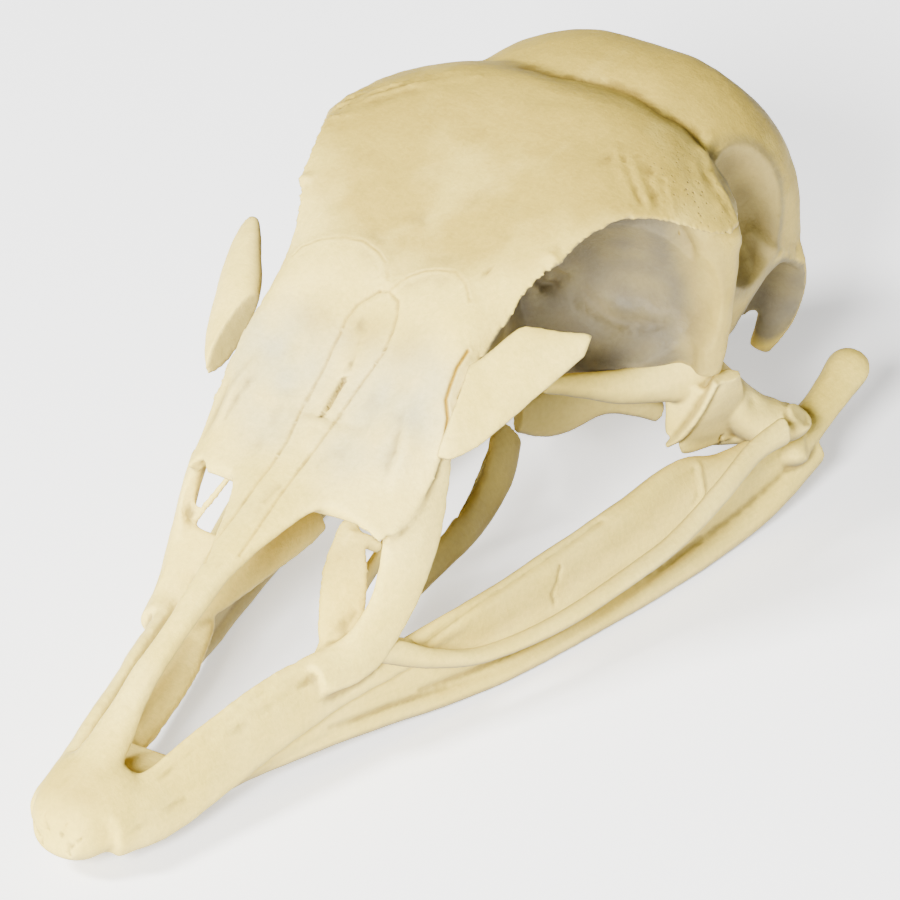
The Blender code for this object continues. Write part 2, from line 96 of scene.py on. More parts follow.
# Roof of the skull, a curved plate: distance from the beak tip, height at the midline, half width and height
# half way out, half width and height at the margin, and half thickness
ROOF = (
    (33.5, 24.2, 6.0, 24.2, 11.0, 22.5, 0.8),
    (37.0, 26.0, 6.5, 26.4, 12.2, 24.2, 0.8),
    (40.0, 27.7, 6.8, 28.5, 12.6, 27.2, 0.9),
    (43.0, 29.8, 6.5, 30.8, 12.2, 30.8, 1.0),
    (46.0, 32.3, 6.0, 33.4, 11.7, 33.2, 1.1),
    (49.0, 34.9, 5.5, 36.0, 11.6, 34.6, 1.2),
    (52.0, 37.0, 6.0, 37.8, 12.0, 36.4, 1.2),
    (55.0, 38.6, 6.5, 39.2, 13.2, 38.8, 1.1),
    (58.0, 39.9, 7.0, 40.6, 14.2, 40.8, 1.0),
    (61.0, 41.1, 7.6, 41.8, 15.2, 41.9, 1.0),
    (64.0, 42.2, 8.2, 42.8, 16.4, 42.1, 1.0),
    (67.0, 43.1, 9.0, 43.5, 18.3, 41.1, 1.1),
    (70.0, 43.9, 9.8, 43.9, 20.4, 39.3, 1.3),
    (73.0, 44.5, 10.2, 44.0, 21.3, 38.2, 1.4),
    (76.0, 44.6, 10.0, 43.8, 20.2, 38.0, 1.4),
    (79.0, 43.6, 9.5, 43.0, 17.6, 38.0, 1.2),
    (82.0, 42.4, 9.0, 41.6, 14.6, 36.4, 1.0),
    (85.0, 40.6, 8.0, 39.4, 11.6, 34.0, 0.8),
)
# Braincase, rings across the skull: distance back, half width, height of its widest line, top, bottom
BRAINCASE = (
    (67.0, 6.0, 30.0, 39.5, 20.0),
    (70.0, 12.5, 31.0, 42.0, 17.0),
    (74.0, 16.4, 31.0, 43.6, 15.2),
    (78.0, 17.0, 30.0, 43.0, 14.6),
    (81.0, 17.0, 29.5, 42.8, 14.4),
    (85.0, 16.8, 29.0, 43.0, 14.2),
    (89.0, 16.4, 28.5, 42.7, 14.4),
    (92.5, 15.7, 27.5, 41.2, 15.0),
    (95.5, 13.8, 26.5, 37.4, 16.4),
    (97.6, 10.6, 25.0, 32.6, 18.4),
    (98.7, 4.8, 24.0, 28.0, 21.0),
)
BRAINCASE_SQUARENESS = 2.5
# Premaxilla, rings as above, the solid tip of the upper beak
BEAK_TIP = (
    (0.0, 2.4, 6.2, 8.0, 4.3),
    (1.4, 3.4, 6.4, 9.6, 3.8),
    (4.0, 4.3, 6.6, 11.0, 3.7),
    (6.6, 4.8, 6.8, 11.0, 4.4),
    (8.6, 4.9, 7.0, 9.0, 5.2),
    (11.0, 4.6, 7.2, 8.4, 5.9),
    (13.5, 4.2, 7.4, 8.2, 6.6),
)
BEAK_SQUARENESS = 2.6

# Limbs: places along the bone with its half breadth and half thickness there
CULMEN = (
    (0.0, 3.0, 9.3, 2.4, 1.2),
    (0.0, 6.2, 10.6, 2.2, 1.4),
    (0.0, 8.6, 12.0, 1.9, 1.3),
    (0.0, 12.4, 14.8, 1.45, 1.15),
    (0.0, 17.4, 17.3, 1.2, 1.1),
    (0.0, 22.4, 19.7, 1.25, 1.05),
    (0.0, 26.0, 21.2, 1.9, 1.0),
    (0.0, 29.0, 22.4, 2.95, 0.9),
    (0.0, 32.0, 23.5, 4.2, 0.85),
    (0.0, 35.0, 24.5, 6.2, 0.8),
    (0.0, 40.0, 27.2, 6.4, 0.8),
)
MAXILLA = (
    (3.4, 3.0, 6.6, 2.7, 1.4),
    (4.8, 9.0, 6.9, 3.3, 1.15),
    (5.9, 15.0, 8.2, 3.4, 1.1),
    (7.3, 22.0, 9.5, 3.4, 1.05),
    (8.7, 28.0, 10.2, 3.0, 1.0),
    (10.2, 33.0, 10.0, 2.3, 0.9),
    (11.4, 37.0, 9.2, 1.3, 0.7),
)
MAXILLA_BREADTH = (-0.3, 0.0, 1.0)
NASAL_BAR = (
    (8.9, 43.6, 29.9, 1.6, 0.6),
    (10.4, 41.0, 27.3, 2.6, 0.8),
    (11.2, 38.2, 23.0, 3.1, 0.85),
    (11.6, 36.0, 19.0, 2.6, 0.85),
    (11.3, 33.6, 15.2, 2.3, 0.85),
    (10.4, 30.4, 12.2, 2.3, 0.9),
    (9.0, 26.0, 11.4, 1.7, 0.9),
)
PALATE_SHELF = (
    (3.0, 9.0, 7.0, 2.6, 0.8),
    (3.9, 16.0, 7.4, 2.6, 0.8),
    (5.3, 24.0, 8.4, 2.4, 0.7),
    (7.2, 31.0, 9.6, 1.5, 0.7),
)
SHELF_BREADTH = (1.0, 0.0, 0.2)
MAXILLA_LEAF = (
    (9.1, 28.6, 11.0, 1.5, 0.8),
    (7.5, 31.7, 13.4, 2.1, 0.6),
    (6.1, 34.3, 16.0, 2.3, 0.5),
    (5.1, 36.4, 18.4, 1.8, 0.45),
    (4.3, 37.8, 20.2, 0.8, 0.45),
)
MAXILLA_LOBE = (
    (7.4, 28.0, 11.0, 1.6, 0.7),
    (5.8, 34.0, 12.2, 1.9, 0.6),
    (4.6, 40.0, 13.4, 1.9, 0.55),
    (3.8, 44.5, 14.2, 1.5, 0.55),
)
LEAF_FLAP = (
    (4.9, 36.4, 19.2, 0.9, 0.35),
    (6.0, 37.8, 18.4, 1.0, 0.35),
    (6.9, 38.8, 17.2, 0.8, 0.35),
)
# Splint and sheet that cross the right nostril
NOSTRIL_SPLINT = (
    (6.6, 38.2, 23.0, 0.5, 0.45),
    (8.2, 36.0, 20.2, 0.45, 0.4),
    (10.4, 33.6, 16.4, 0.5, 0.45),
)
NOSTRIL_SHEET = (
    (8.2, 26.5, 11.6, 1.5, 0.5),
    (8.4, 29.6, 13.7, 1.8, 0.5),
    (8.5, 32.4, 15.7, 1.8, 0.45),
    (8.6, 33.9, 16.7, 1.7, 0.4),
)
SEPTUM = (
    (0.0, 47.0, 27.0, 4.8, 0.7),
    (0.0, 52.0, 27.6, 7.9, 0.7),
    (0.0, 60.0, 28.2, 10.8, 0.7),
    (0.0, 69.0, 28.5, 12.0, 1.2),
)
ROSTRUM = (
    (0.0, 44.0, 19.0, 0.9, 0.9),
    (0.0, 52.0, 18.4, 1.6, 1.4),
    (0.0, 58.0, 17.8, 2.1, 2.0),
    (0.0, 64.0, 17.8, 2.3, 2.3),
    (0.0, 72.0, 18.0, 2.8, 2.6),
    (0.0, 80.0, 18.0, 3.4, 3.0),
)
POSTORBITAL = (
    (15.8, 76.2, 38.0, 3.6, 2.0),
    (17.7, 76.0, 34.0, 2.6, 1.7),
    (17.7, 75.6, 27.0, 2.0, 1.4),
    (17.2, 75.1, 20.6, 1.4, 1.2),
)
POSTORBITAL_WALL = (
    (15.2, 75.9, 36.0, 3.2, 1.8),
    (15.6, 75.7, 30.0, 3.0, 1.8),
    (15.6, 75.6, 24.5, 2.6, 1.6),
    (15.7, 75.4, 21.0, 2.0, 1.2),
)
SQUAMOSAL_KNOB = (
    (13.2, 87.5, 30.0, 2.2, 1.8),
    (14.3, 90.2, 26.5, 1.5, 1.3),
    (14.7, 91.4, 24.0, 0.9, 0.9),
)
PAROCCIPITAL = (
    (14.3, 91.8, 24.6, 1.9, 1.1),
    (14.1, 92.8, 20.8, 2.1, 1.1),
    (13.1, 92.9, 16.8, 1.8, 1.0),
    (12.0, 91.4, 13.4, 1.1, 0.7),
)
CONDYLE = ((0.0, 94.5, 19.0, 2.0, 1.7), (0.0, 98.2, 18.6, 1.5, 1.4))

RAMUS_PLATE = (
    (2.4, 6.0, 5.0, 1.1, 1.2),
    (4.6, 14.0, 5.2, 1.6, 1.1),
    (7.4, 24.0, 5.8, 1.9, 0.9),
    (9.6, 33.0, 6.2, 2.8, 0.8),
    (12.6, 44.0, 6.5, 3.9, 0.75),
    (15.0, 56.0, 6.9, 4.4, 0.75),
    (17.0, 69.0, 7.6, 4.6, 0.75),
    (18.2, 80.0, 7.4, 3.2, 1.1),
    (18.6, 87.0, 7.8, 2.4, 1.6),
)
RAMUS_UPPER_RIM = (
    (2.6, 7.0, 5.6, 0.9, 0.9),
    (4.8, 18.0, 6.0, 1.0, 0.9),
    (7.0, 26.0, 6.9, 1.0, 0.9),
    (9.0, 33.0, 8.2, 1.1, 0.9),
    (10.8, 38.0, 9.1, 1.2, 1.0),
    (12.4, 45.0, 9.6, 1.2, 1.0),
    (14.0, 54.0, 10.3, 1.2, 1.0),
    (15.5, 64.0, 11.1, 1.2, 1.0),
    (16.4, 71.5, 11.8, 1.1, 0.9),
    (17.4, 76.6, 10.1, 1.2, 1.1),
    (18.3, 84.0, 8.8, 1.6, 1.4),
)
RAMUS_LOWER_RIM = (
    (2.4, 6.0, 4.6, 0.9, 0.9),
    (5.5, 18.0, 4.7, 1.0, 1.0),
    (8.8, 30.0, 4.2, 1.1, 1.1),
    (12.3, 42.0, 3.1, 1.2, 1.2),
    (14.3, 50.0, 2.9, 1.3, 1.3),
    (16.2, 60.0, 2.9, 1.3, 1.3),
    (17.5, 69.0, 3.0, 1.4, 1.4),
    (18.3, 77.0, 3.4, 1.65, 1.5),
    (18.9, 83.0, 4.6, 1.85, 1.7),
    (18.9, 89.0, 6.5, 2.1, 2.0),
)
ARTICULAR = (
    (14.8, 84.0, 8.2, 1.3, 1.2),
    (17.4, 85.0, 8.2, 2.2, 1.7),
    (19.8, 86.0, 8.4, 2.3, 1.8),
    (20.6, 86.4, 8.6, 1.4, 1.2),
)
RETROARTICULAR = (
    (18.7, 86.0, 8.0, 2.1, 2.2),
    (18.6, 91.0, 8.9, 1.6, 1.8),
    (18.4, 94.6, 9.8, 1.6, 1.9),
    (18.2, 97.2, 10.6, 1.8, 2.1),
    (18.1, 98.5, 10.9, 1.3, 1.5),
)
SYMPHYSIS = (
    (0.0, 2.6, 5.2, 1.4, 0.8),
    (0.0, 5.0, 5.0, 2.6, 1.0),
    (0.0, 9.0, 4.8, 3.2, 1.0),
    (0.0, 13.0, 4.8, 3.0, 0.8),
)

LACRIMAL = (
    (11.7, 43.4, 30.6, 4.4, 0.95),
    (12.7, 44.6, 30.8, 5.1, 0.9),
    (13.8, 47.0, 31.7, 5.7, 0.85),
    (14.6, 48.3, 32.2, 5.2, 0.8),
    (15.9, 50.3, 32.7, 3.9, 0.75),
    (17.4, 52.6, 33.4, 2.3, 0.65),
    (18.5, 54.3, 33.9, 1.1, 0.5),
)
# The right blade is shorter and thicker as it is seen
LACRIMAL_RIGHT = (
    (12.5, 44.2, 30.4, 4.2, 1.2),
    (14.3, 46.9, 31.3, 4.4, 1.5),
    (16.1, 50.1, 32.7, 3.7, 1.35),
    (17.6, 52.9, 33.7, 2.7, 1.0),
    (18.6, 54.7, 34.2, 1.4, 0.6),
)
LACRIMAL_BREADTH = (0.12, -0.76, -0.64)

QUADRATE_BODY = (
    (13.0, 79.4, 24.2, 1.5, 1.3),
    (13.4, 78.6, 20.6, 1.6, 1.3),
    (15.1, 79.2, 17.0, 2.0, 1.7),
    (17.0, 81.8, 13.0, 2.3, 2.1),
    (18.1, 83.6, 11.4, 2.3, 2.4),
)
QUADRATE_ORBITAL = (
    (7.3, 63.7, 21.8, 0.9, 0.5),
    (8.6, 65.8, 21.2, 1.2, 0.7),
    (10.8, 70.0, 19.6, 1.7, 0.9),
    (13.2, 73.8, 19.2, 2.3, 1.0),
    (15.8, 78.2, 19.2, 3.6, 1.1),
)
QUADRATE_SHOULDER = (
    (11.4, 72.4, 19.6, 1.4, 0.9),
    (13.0, 75.4, 20.7, 2.0, 1.0),
    (13.8, 78.2, 21.6, 2.1, 1.1),
)
QUADRATE_CREST = (
    (17.6, 76.0, 19.4, 0.5, 0.4),
    (16.2, 75.5, 16.4, 1.1, 0.35),
    (14.6, 74.9, 13.6, 0.9, 0.35),
    (13.2, 74.4, 12.0, 0.4, 0.3),
)
QUADRATE_WEB = (
    (17.8, 77.4, 19.4, 1.4, 0.75),
    (16.4, 77.8, 15.2, 2.9, 0.75),
    (15.4, 78.2, 12.3, 3.3, 0.7),
    (15.2, 78.3, 10.9, 3.0, 0.55),
)
QUADRATE_WING = (
    (15.1, 75.8, 18.4, 2.5, 0.5),
    (14.4, 75.4, 15.6, 1.8, 0.45),
    (13.6, 74.9, 12.9, 0.8, 0.4),
)
QUADRATE_CONDYLES = (
    (13.8, 80.2, 10.8, 1.4, 1.2),
    (16.4, 82.6, 10.9, 2.0, 1.4),
    (19.8, 84.6, 11.6, 2.2, 1.8),
    (20.6, 85.0, 12.4, 1.2, 1.2),
)

PTERYGOID = (
    (3.4, 65.0, 16.7, 1.7, 0.9),
    (5.1, 68.4, 16.0, 2.6, 0.8),
    (8.0, 71.8, 16.2, 1.3, 0.8),
    (10.0, 74.2, 15.4, 1.2, 0.9),
    (11.4, 76.0, 14.2, 1.0, 0.8),
)
PALATINE = (
    (7.2, 34.0, 11.0, 0.9, 0.5),
    (7.6, 39.0, 11.5, 1.1, 0.6),
    (7.6, 44.5, 12.3, 1.3, 0.6),
    (7.1, 50.1, 12.7, 1.5, 0.6),
    (5.8, 55.7, 13.1, 2.0, 0.6),
    (4.6, 60.2, 14.1, 2.1, 0.7),
    (3.4, 63.6, 15.7, 1.8, 0.8),
)
JUGAL = (
    (11.0, 31.0, 11.9, 0.5, 0.4),
    (11.7, 33.6, 11.1, 1.2, 0.5),
    (13.2, 37.2, 9.1, 1.0, 0.55),
    (15.2, 42.5, 7.4, 0.8, 0.7),
    (17.8, 50.2, 7.5, 0.9, 0.7),
    (19.6, 58.4, 8.5, 0.9, 0.8),
    (20.6, 64.6, 9.4, 1.0, 0.8),
    (21.1, 71.0, 11.2, 1.1, 0.8),
    (21.1, 76.8, 12.7, 1.2, 0.8),
    (21.8, 80.8, 13.2, 1.5, 0.8),
)

# Hollows, ellipsoids: centre and half sizes
ORBIT = ((18.6, 61.6, 28.2), (17.6, 13.2, 12.5))
TEMPORAL_FOSSA = ((20.6, 83.4, 33.6), (7.9, 6.2, 9.4))
TYMPANIC_CAVITY = ((16.4, 88.0, 19.2), (6.8, 5.6, 5.8))
FORAMEN_MAGNUM = ((0.0, 99.0, 23.6), (2.9, 4.5, 2.7))
SEPTUM_WINDOW = ((0.0, 69.0, 29.6), (3.0, 1.6, 2.4))
NOSTRIL_ARCH = ((9.3, 33.4, 20.6), (1.9, 1.7, 3.8))

# Lines seen on the cranium, in pixels of the photograph
PROCESS_SEAMS = (
    (
        (205, 562), (214, 541), (236, 513), (255, 486), (272, 464), (287, 441), (302, 408), (314, 387),
        (325, 366), (333, 347), (341, 332), (346, 319), (358, 304), (379, 291),
    ),
    (
        (240, 555), (262, 522), (279, 497), (295, 475), (318, 445), (339, 416), (356, 391), (371, 370),
        (383, 353), (392, 332), (397, 315), (398, 301), (390, 292), (379, 291),
    ),
)
PROCESS_MIDDLE = (
    (128, 706), (156, 657), (191, 607), (223, 560), (250, 520), (272, 494), (305, 461), (321, 417),
)
MIDDLE_CRACK = ((321, 417), (327, 407))
MIDDLE_SLIT = ((327, 407), (335, 393), (343, 380))
MIDDLE_FOLD = ((343, 380), (348, 372), (358, 338), (361, 319))
NASAL_ARCS = (
    ((293, 256), (302, 247), (322, 239), (343, 237), (364, 241), (379, 252), (386, 263), (388, 280)),
    ((390, 290), (400, 282), (410, 276), (425, 271), (440, 270), (456, 272), (466, 284), (470, 302)),
)
LACRIMAL_SEAMS = (
    ((468, 351), (457, 368), (450, 387), (446, 400), (448, 419), (445, 438), (440, 457)),
    ((256, 296), (245, 307), (232, 324), (218, 340), (212, 353), (209, 366)),
)
TEMPLE_WRINKLES = (
    ((622, 156), (629, 176), (639, 200)),
    ((637, 158), (646, 180), (655, 206)),
    ((650, 168), (656, 186), (661, 208)),
    ((662, 180), (666, 195), (669, 210)),
)
TEMPLE_RIDGES = (
    ((616, 148), (624, 174), (633, 197)),
    ((634, 160), (641, 182), (651, 207)),
    ((654, 178), (660, 195), (663, 210)),
    ((668, 190), (672, 211)),
    ((699, 143), (696, 165), (701, 183), (717, 201), (729, 222), (733, 240)),
)
CROWN_RIDGES = (
    ((338, 108), (370, 98), (410, 86), (450, 79), (480, 76)),
    ((342, 100), (380, 90), (420, 79), (460, 70)),
    ((334, 118), (352, 116), (380, 108)),
)
CROWN_VALLEY = (
    (530, 66), (558, 73), (586, 78), (613, 83), (634, 91), (648, 101), (667, 114), (684, 121), (704, 140),
)
ORBIT_MARGIN = (
    (476, 358), (496, 332), (526, 292), (556, 247), (578, 226), (598, 212), (620, 206), (640, 205),
    (662, 211), (682, 219), (702, 230), (718, 236),
)
FOSSA_EDGE = ((708, 138), (704, 153), (712, 177), (725, 198), (733, 216), (737, 236), (746, 262))
ORBIT_FOLDS = (
    (
        (551, 257), (569, 273), (572, 290), (572, 307), (592, 319), (613, 330), (628, 336), (651, 334),
        (676, 328),
    ),
    ((618, 305), (632, 309), (639, 305), (649, 313), (660, 316), (680, 319)),
)
ORBIT_HOLLOW = ((585, 300), (610, 322), (645, 330), (682, 322))
KNOB_EDGE = ((752, 232), (768, 248), (784, 254), (800, 262))
ORBIT_HOLES = ((536, 290), (548, 276), (560, 284))
MAXILLA_LINES = (
    ((163, 777), (186, 758), (219, 727), (252, 702), (279, 678), (299, 658), (322, 637), (358, 613)),
    ((230, 735), (276, 701), (316, 676)),
    ((136, 829), (161, 811), (186, 799)),
)
TIP_CRACKS = (((43, 832), (42, 845)), ((67, 822), (61, 836)), ((82, 839), (71, 848)))
# Patches on the cranium: pixel, radius in millimetres and strength
THIN_PATCHES = (
    ((296, 372), 4.2, 0.55), ((268, 420), 3.4, 0.4), ((415, 402), 4.6, 0.6), ((390, 450), 3.0, 0.35),
    ((330, 345), 2.4, 0.25),
)
STAIN_PATCHES = (
    ((476, 234), 4.4, 0.5), ((420, 250), 3.6, 0.35), ((362, 330), 2.6, 0.35), ((316, 318), 2.6, 0.3),
    ((545, 110), 6.0, 0.35), ((600, 180), 5.5, 0.4), ((690, 80), 6.0, 0.35), ((390, 130), 5.0, 0.25),
    ((345, 180), 4.0, 0.25), ((530, 200), 4.0, 0.35), ((745, 330), 2.5, 0.3), ((80, 790), 3.0, 0.3),
)
SPONGY_PATCHES = (
    ((668, 168), 2.6, 0.7), ((690, 190), 2.8, 1.0), ((704, 212), 2.4, 0.9), ((722, 226), 2.0, 0.8),
    ((676, 150), 2.4, 0.6),
)
FRONTAL_PIT = (331, 221)

# Lines on the lower jaw and the quadrate, in pixels
JAW_GROOVE = ((419, 650), (455, 622), (491, 594), (525, 572), (558, 550), (600, 520))
JAW_SUTURE = ((561, 565), (558, 582), (552, 595), (555, 603))
JAW_RIDGE = ((698, 467), (702, 493), (696, 508))
JAW_SIDE_LINES = (
    ((330, 728), (390, 706), (450, 688), (520, 662), (590, 622), (650, 580), (700, 540)),
    ((420, 690), (480, 668), (560, 628), (640, 570), (700, 515), (750, 470)),
)
QUADRATE_CRACK = ((715, 455), (719, 445), (722, 436))
QUADRATE_SPOT = (754, 401)
PALATINE_GROOVE = ((489, 435), (484, 472), (470, 496), (453, 518))

# Carving: groups of lines with their depth, less than 0 for a ridge, and width in millimetres
LEFT_CARVING = (
    (PROCESS_SEAMS, 0.13, 0.17),
    (LACRIMAL_SEAMS, -0.2, 0.5),
    (LACRIMAL_SEAMS, 0.35, 0.15),
    ((PROCESS_MIDDLE,), 0.1, 0.25),
    ((MIDDLE_CRACK,), 0.3, 0.12),
    ((MIDDLE_SLIT,), 0.7, 0.22),
    ((MIDDLE_FOLD,), 0.12, 0.2),
    (NASAL_ARCS, -0.12, 0.45),
    (NASAL_ARCS, 0.1, 0.14),
    (CROWN_RIDGES, -0.16, 0.3),
    ((CROWN_VALLEY,), 0.3, 1.8),
    ((CROWN_VALLEY,), 0.12, 0.35),
)
MIRRORED_CARVING = (
    (TEMPLE_WRINKLES, 0.1, 0.35),
    (TEMPLE_RIDGES, -0.14, 0.45),
    ((FOSSA_EDGE,), -0.35, 0.6),
    (ORBIT_FOLDS, -0.4, 0.5),
    ((ORBIT_HOLLOW,), 0.45, 1.0),
    ((KNOB_EDGE,), -0.4, 0.6),
    (MAXILLA_LINES, 0.12, 0.4),
    (TIP_CRACKS, 0.16, 0.13),
    (((FRONTAL_PIT, FRONTAL_PIT),), 0.3, 0.2),
)
JAW_CARVING = (
    ((JAW_GROOVE,), 0.3, 0.4),
    ((JAW_SUTURE,), 0.2, 0.2),
    ((JAW_RIDGE,), -0.3, 0.4),
    (JAW_SIDE_LINES, 0.12, 0.3),
)
QUADRATE_CARVING = (((QUADRATE_CRACK,), 0.3, 0.15), (((QUADRATE_SPOT, QUADRATE_SPOT),), 0.3, 0.8))
PALATINE_CARVING = (((PALATINE_GROOVE,), 0.4, 0.45),)
# Lines sharp enough to need small faces, and how near to them the faces are split, in millimetres
SHARP_LINES = PROCESS_SEAMS + NASAL_ARCS + LACRIMAL_SEAMS + (MIDDLE_CRACK, MIDDLE_SLIT)
FINE_LINES = SHARP_LINES + TIP_CRACKS + TEMPLE_WRINKLES + (ORBIT_MARGIN, ORBIT_HOLES)
FINE_REACH = 0.45
SHARP_REACH = 0.2
# Depths of what has no line of its own, and the height under which the beak's edge is chipped, in millimetres
SPONGE_DEPTH = 0.16
TEETH_DEPTH = 0.07
CHIP_DEPTH = 0.6
HOLE_DEPTH = 1.3
CHIPPED_BELOW = 4.2
# How far the right side differs from the left: the frontal margin out, the bone beside the nostril in
FRONTAL_WIDER = 0.4
NOSE_NARROWER = 0.9
# Hollowness at which the painted shade of a crease begins, how much more makes it darkest, how dark that is,
# and the width of the clouds of stain in millimetres
CREASE_START = 0.0025
CREASE_SPAN = 0.013
CREASE_SHARE = 0.65
CLOUD_SIZE = 2.2
# Millimetres from a line past which nothing is changed, and from one of its places to the next past which
# the line has left the bone between them
FAR = 4.0
LEAP = 2.0


def at(x, y, z, side=LEFT):
    """A place in the skull's millimetres as one in the part's frame, in metres."""
    return Vector((side * x, y - SKULL_MIDDLE, z - REST_HEIGHT)) * MM


def smooth(rows, t):
    """Where t, from 0 to 1, falls on the smooth curve through rows of numbers."""
    span = t * (len(rows) - 1)
    i = min(int(span), len(rows) - 2)
    u = span - i
    here, ahead = Vector(rows[i]), Vector(rows[i + 1])
    before = Vector(rows[i - 1]) if i else 2 * here - ahead
    after = Vector(rows[i + 2]) if i + 2 < len(rows) else 2 * ahead - here
    bend = (2 * before - 5 * here + 4 * ahead - after) * u * u
    swing = (3 * here - before - 3 * ahead + after) * u * u * u
    return 0.5 * (2 * here + (ahead - before) * u + bend + swing)


def skin(surface, around, along):
    """A closed skin: a grid rolled up by surface(turn, t), its seam merged and its two ends filled."""
    mesh = bmesh.new()
    bmesh.ops.create_grid(mesh, x_segments=around, y_segments=along, size=0.5)
    for vert in mesh.verts:
        vert.co = surface(vert.co.x + 0.5, vert.co.y + 0.5)
    bmesh.ops.remove_doubles(mesh, verts=mesh.verts, dist=WELD)
    bmesh.ops.holes_fill(mesh, edges=mesh.edges)
    bmesh.ops.recalc_face_normals(mesh, faces=mesh.faces)
    return mesh


def end_course(rows, t):
    return Vector(rows[1]) - Vector(rows[0]) if t < 0.5 else Vector(rows[-1]) - Vector(rows[-2])


def limb(rows, breadth=(0, 0, 1), side=LEFT, swell=0, square=True):
    """A bar, strap or blade along rows of (x, y, z, half breadth, half thickness), broad along breadth.

    Its sections are square to its course, or as slanted as breadth is.
    """

    def surface(turn, t):
        x, y, z, broad, thick = smooth(rows, t)
        course = (smooth(rows, t + 0.01) - smooth(rows, t - 0.01)) if 0.01 < t < 0.99 else end_course(rows, t)
        course = Vector(course[:3]).normalized()
        width = Vector(breadth).normalized()
        if square:
            width = (width - course * width.dot(course)).normalized()
        depth = course.cross(width).normalized()
        angle = 2 * math.pi * turn
        reach = course * swell * (2 * t - 1)
        out = width * (broad + swell) * math.cos(angle) + depth * (thick + swell) * math.sin(angle) + reach
        return at(x + out.x, y + out.y, z + out.z, side)

    return skin(surface, 24, 8 * (len(rows) - 1))


def rings(rows, squareness):
    """A rounded body through rows of (y, half width, height of the widest line, top, bottom)."""

    def surface(turn, t):
        y, width, middle, top, bottom = smooth(rows, t)
        angle = 2 * math.pi * turn
        across = math.copysign(abs(math.cos(angle)) ** (2 / squareness), math.cos(angle))
        up = abs(math.sin(angle)) ** (2 / squareness)
        height = middle + (top - middle) * up if math.sin(angle) > 0 else middle - (middle - bottom) * up
        return at(width * across, y, height)

    return skin(surface, 64, 8 * (len(rows) - 1))


def roof():
    """The plate of the nasal and frontal bones, arched across by its three heights."""

    def surface(turn, t):
        y, ridge, inner, inner_height, margin, margin_height, thick = smooth(ROOF, t)
        angle = 2 * math.pi * turn
        x = margin * math.cos(angle)
        share = (x / margin) ** 2
        inner_share = (inner / margin) ** 2
        # Height as ridge + a share + b share squared, through the inner and the margin heights
        b = ((inner_height - ridge) / inner_share - (margin_height - ridge)) / (inner_share - 1)
        a = margin_height - ridge - b
        height = ridge + a * share + b * share * share
        return at(x, y, height - thick + thick * math.sin(angle))

    return skin(surface, 72, 80)


def ellipsoid(centre, half_sizes, side=LEFT):
    mesh = bmesh.new()
    bmesh.ops.create_icosphere(mesh, subdivisions=4, radius=1)
    bmesh.ops.scale(mesh, vec=Vector(half_sizes) * MM, verts=mesh.verts)
    bmesh.ops.translate(mesh, vec=at(*centre, side), verts=mesh.verts)
    return mesh


def both(form, *values, **options):
    return [form(*values, side=side, **options) for side in (LEFT, RIGHT)]


def joined(name, forms):
    """One object with all the forms in it, still as separate closed skins."""
    mesh = bpy.data.meshes.new(name)
    whole = bmesh.new()
    for form in forms:
        form.to_mesh(mesh)
        form.free()
        whole.from_mesh(mesh)
    whole.to_mesh(mesh)
    whole.free()
    thing = bpy.data.objects.new(name, mesh)
    bpy.context.scene.collection.objects.link(thing)
    return thing


def modify(thing, kind, **settings):
    modifier = thing.modifiers.new(kind.title(), kind)
    for setting, value in settings.items():
        setattr(modifier, setting, value)


def settle(thing):
    """The mesh as its modifiers leave it, in place of them."""
    bpy.context.view_layer.update()
    mesh = bpy.data.meshes.new_from_object(thing.evaluated_get(bpy.context.evaluated_depsgraph_get()))
    thing.modifiers.clear()
    thing.data = mesh


def fuse(thing, voxel=COARSE, rounds=3):
    modify(thing, "REMESH", mode="VOXEL", voxel_size=voxel)
    modify(thing, "SMOOTH", factor=0.5, iterations=rounds)
    settle(thing)


def cut(thing, name, forms):
    """Takes the forms, fused to one cutter, out of the thing."""
    cutter = joined(name, forms)
    fuse(cutter, voxel=1.2 * COARSE, rounds=1)
    modify(thing, "BOOLEAN", operation="DIFFERENCE", solver="EXACT", object=cutter)
    settle(thing)
    bpy.data.objects.remove(cutter)


def largest(thing):
    """Keeps the biggest body of the thing and drops the crumbs that cutting left."""
    mesh = bmesh.new()
    mesh.from_mesh(thing.data)
    unseen, bodies = set(mesh.verts), []
    while unseen:
        body, edge = set(), [unseen.pop()]
        while edge:
            vert = edge.pop()
            body.add(vert)
            for link in vert.link_edges:
                other = link.other_vert(vert)
                if other in unseen:
                    unseen.remove(other)
                    edge.append(other)
        bodies.append(body)
    bodies.sort(key=len)
    for body in bodies[:-1]:
        bmesh.ops.delete(mesh, geom=list(body), context="VERTS")
    mesh.to_mesh(thing.data)
    mesh.free()


def bone(name, forms, hollows=(), voxel=0.2, rounds=2):
    """Fuses the forms, takes out the hollows, and leaves one closed skin fine enough to carve."""
    thing = joined(name, forms)
    if hollows:
        fuse(thing)
        cut(thing, name + "_hollows", hollows)
    fuse(thing, voxel=voxel * MM, rounds=rounds)
    largest(thing)
    return thing


def weather(thing, waviness):
    """Low waves over the whole bone, as no bone is as even as its forms."""
    points, normals = places_of(thing)
    height = waviness * ripple(points, 5.0) + 0.35 * waviness * ripple(points, 1.6, seed=3)
    move_by(thing, normals * height[:, None])


def thin_out(thing, most):
    """Collapses the flattest faces until the thing has no more triangles than that."""
    thing.data.calc_loop_triangles()
    modify(thing, "DECIMATE", ratio=min(1, most / len(thing.data.loop_triangles)))
    settle(thing)


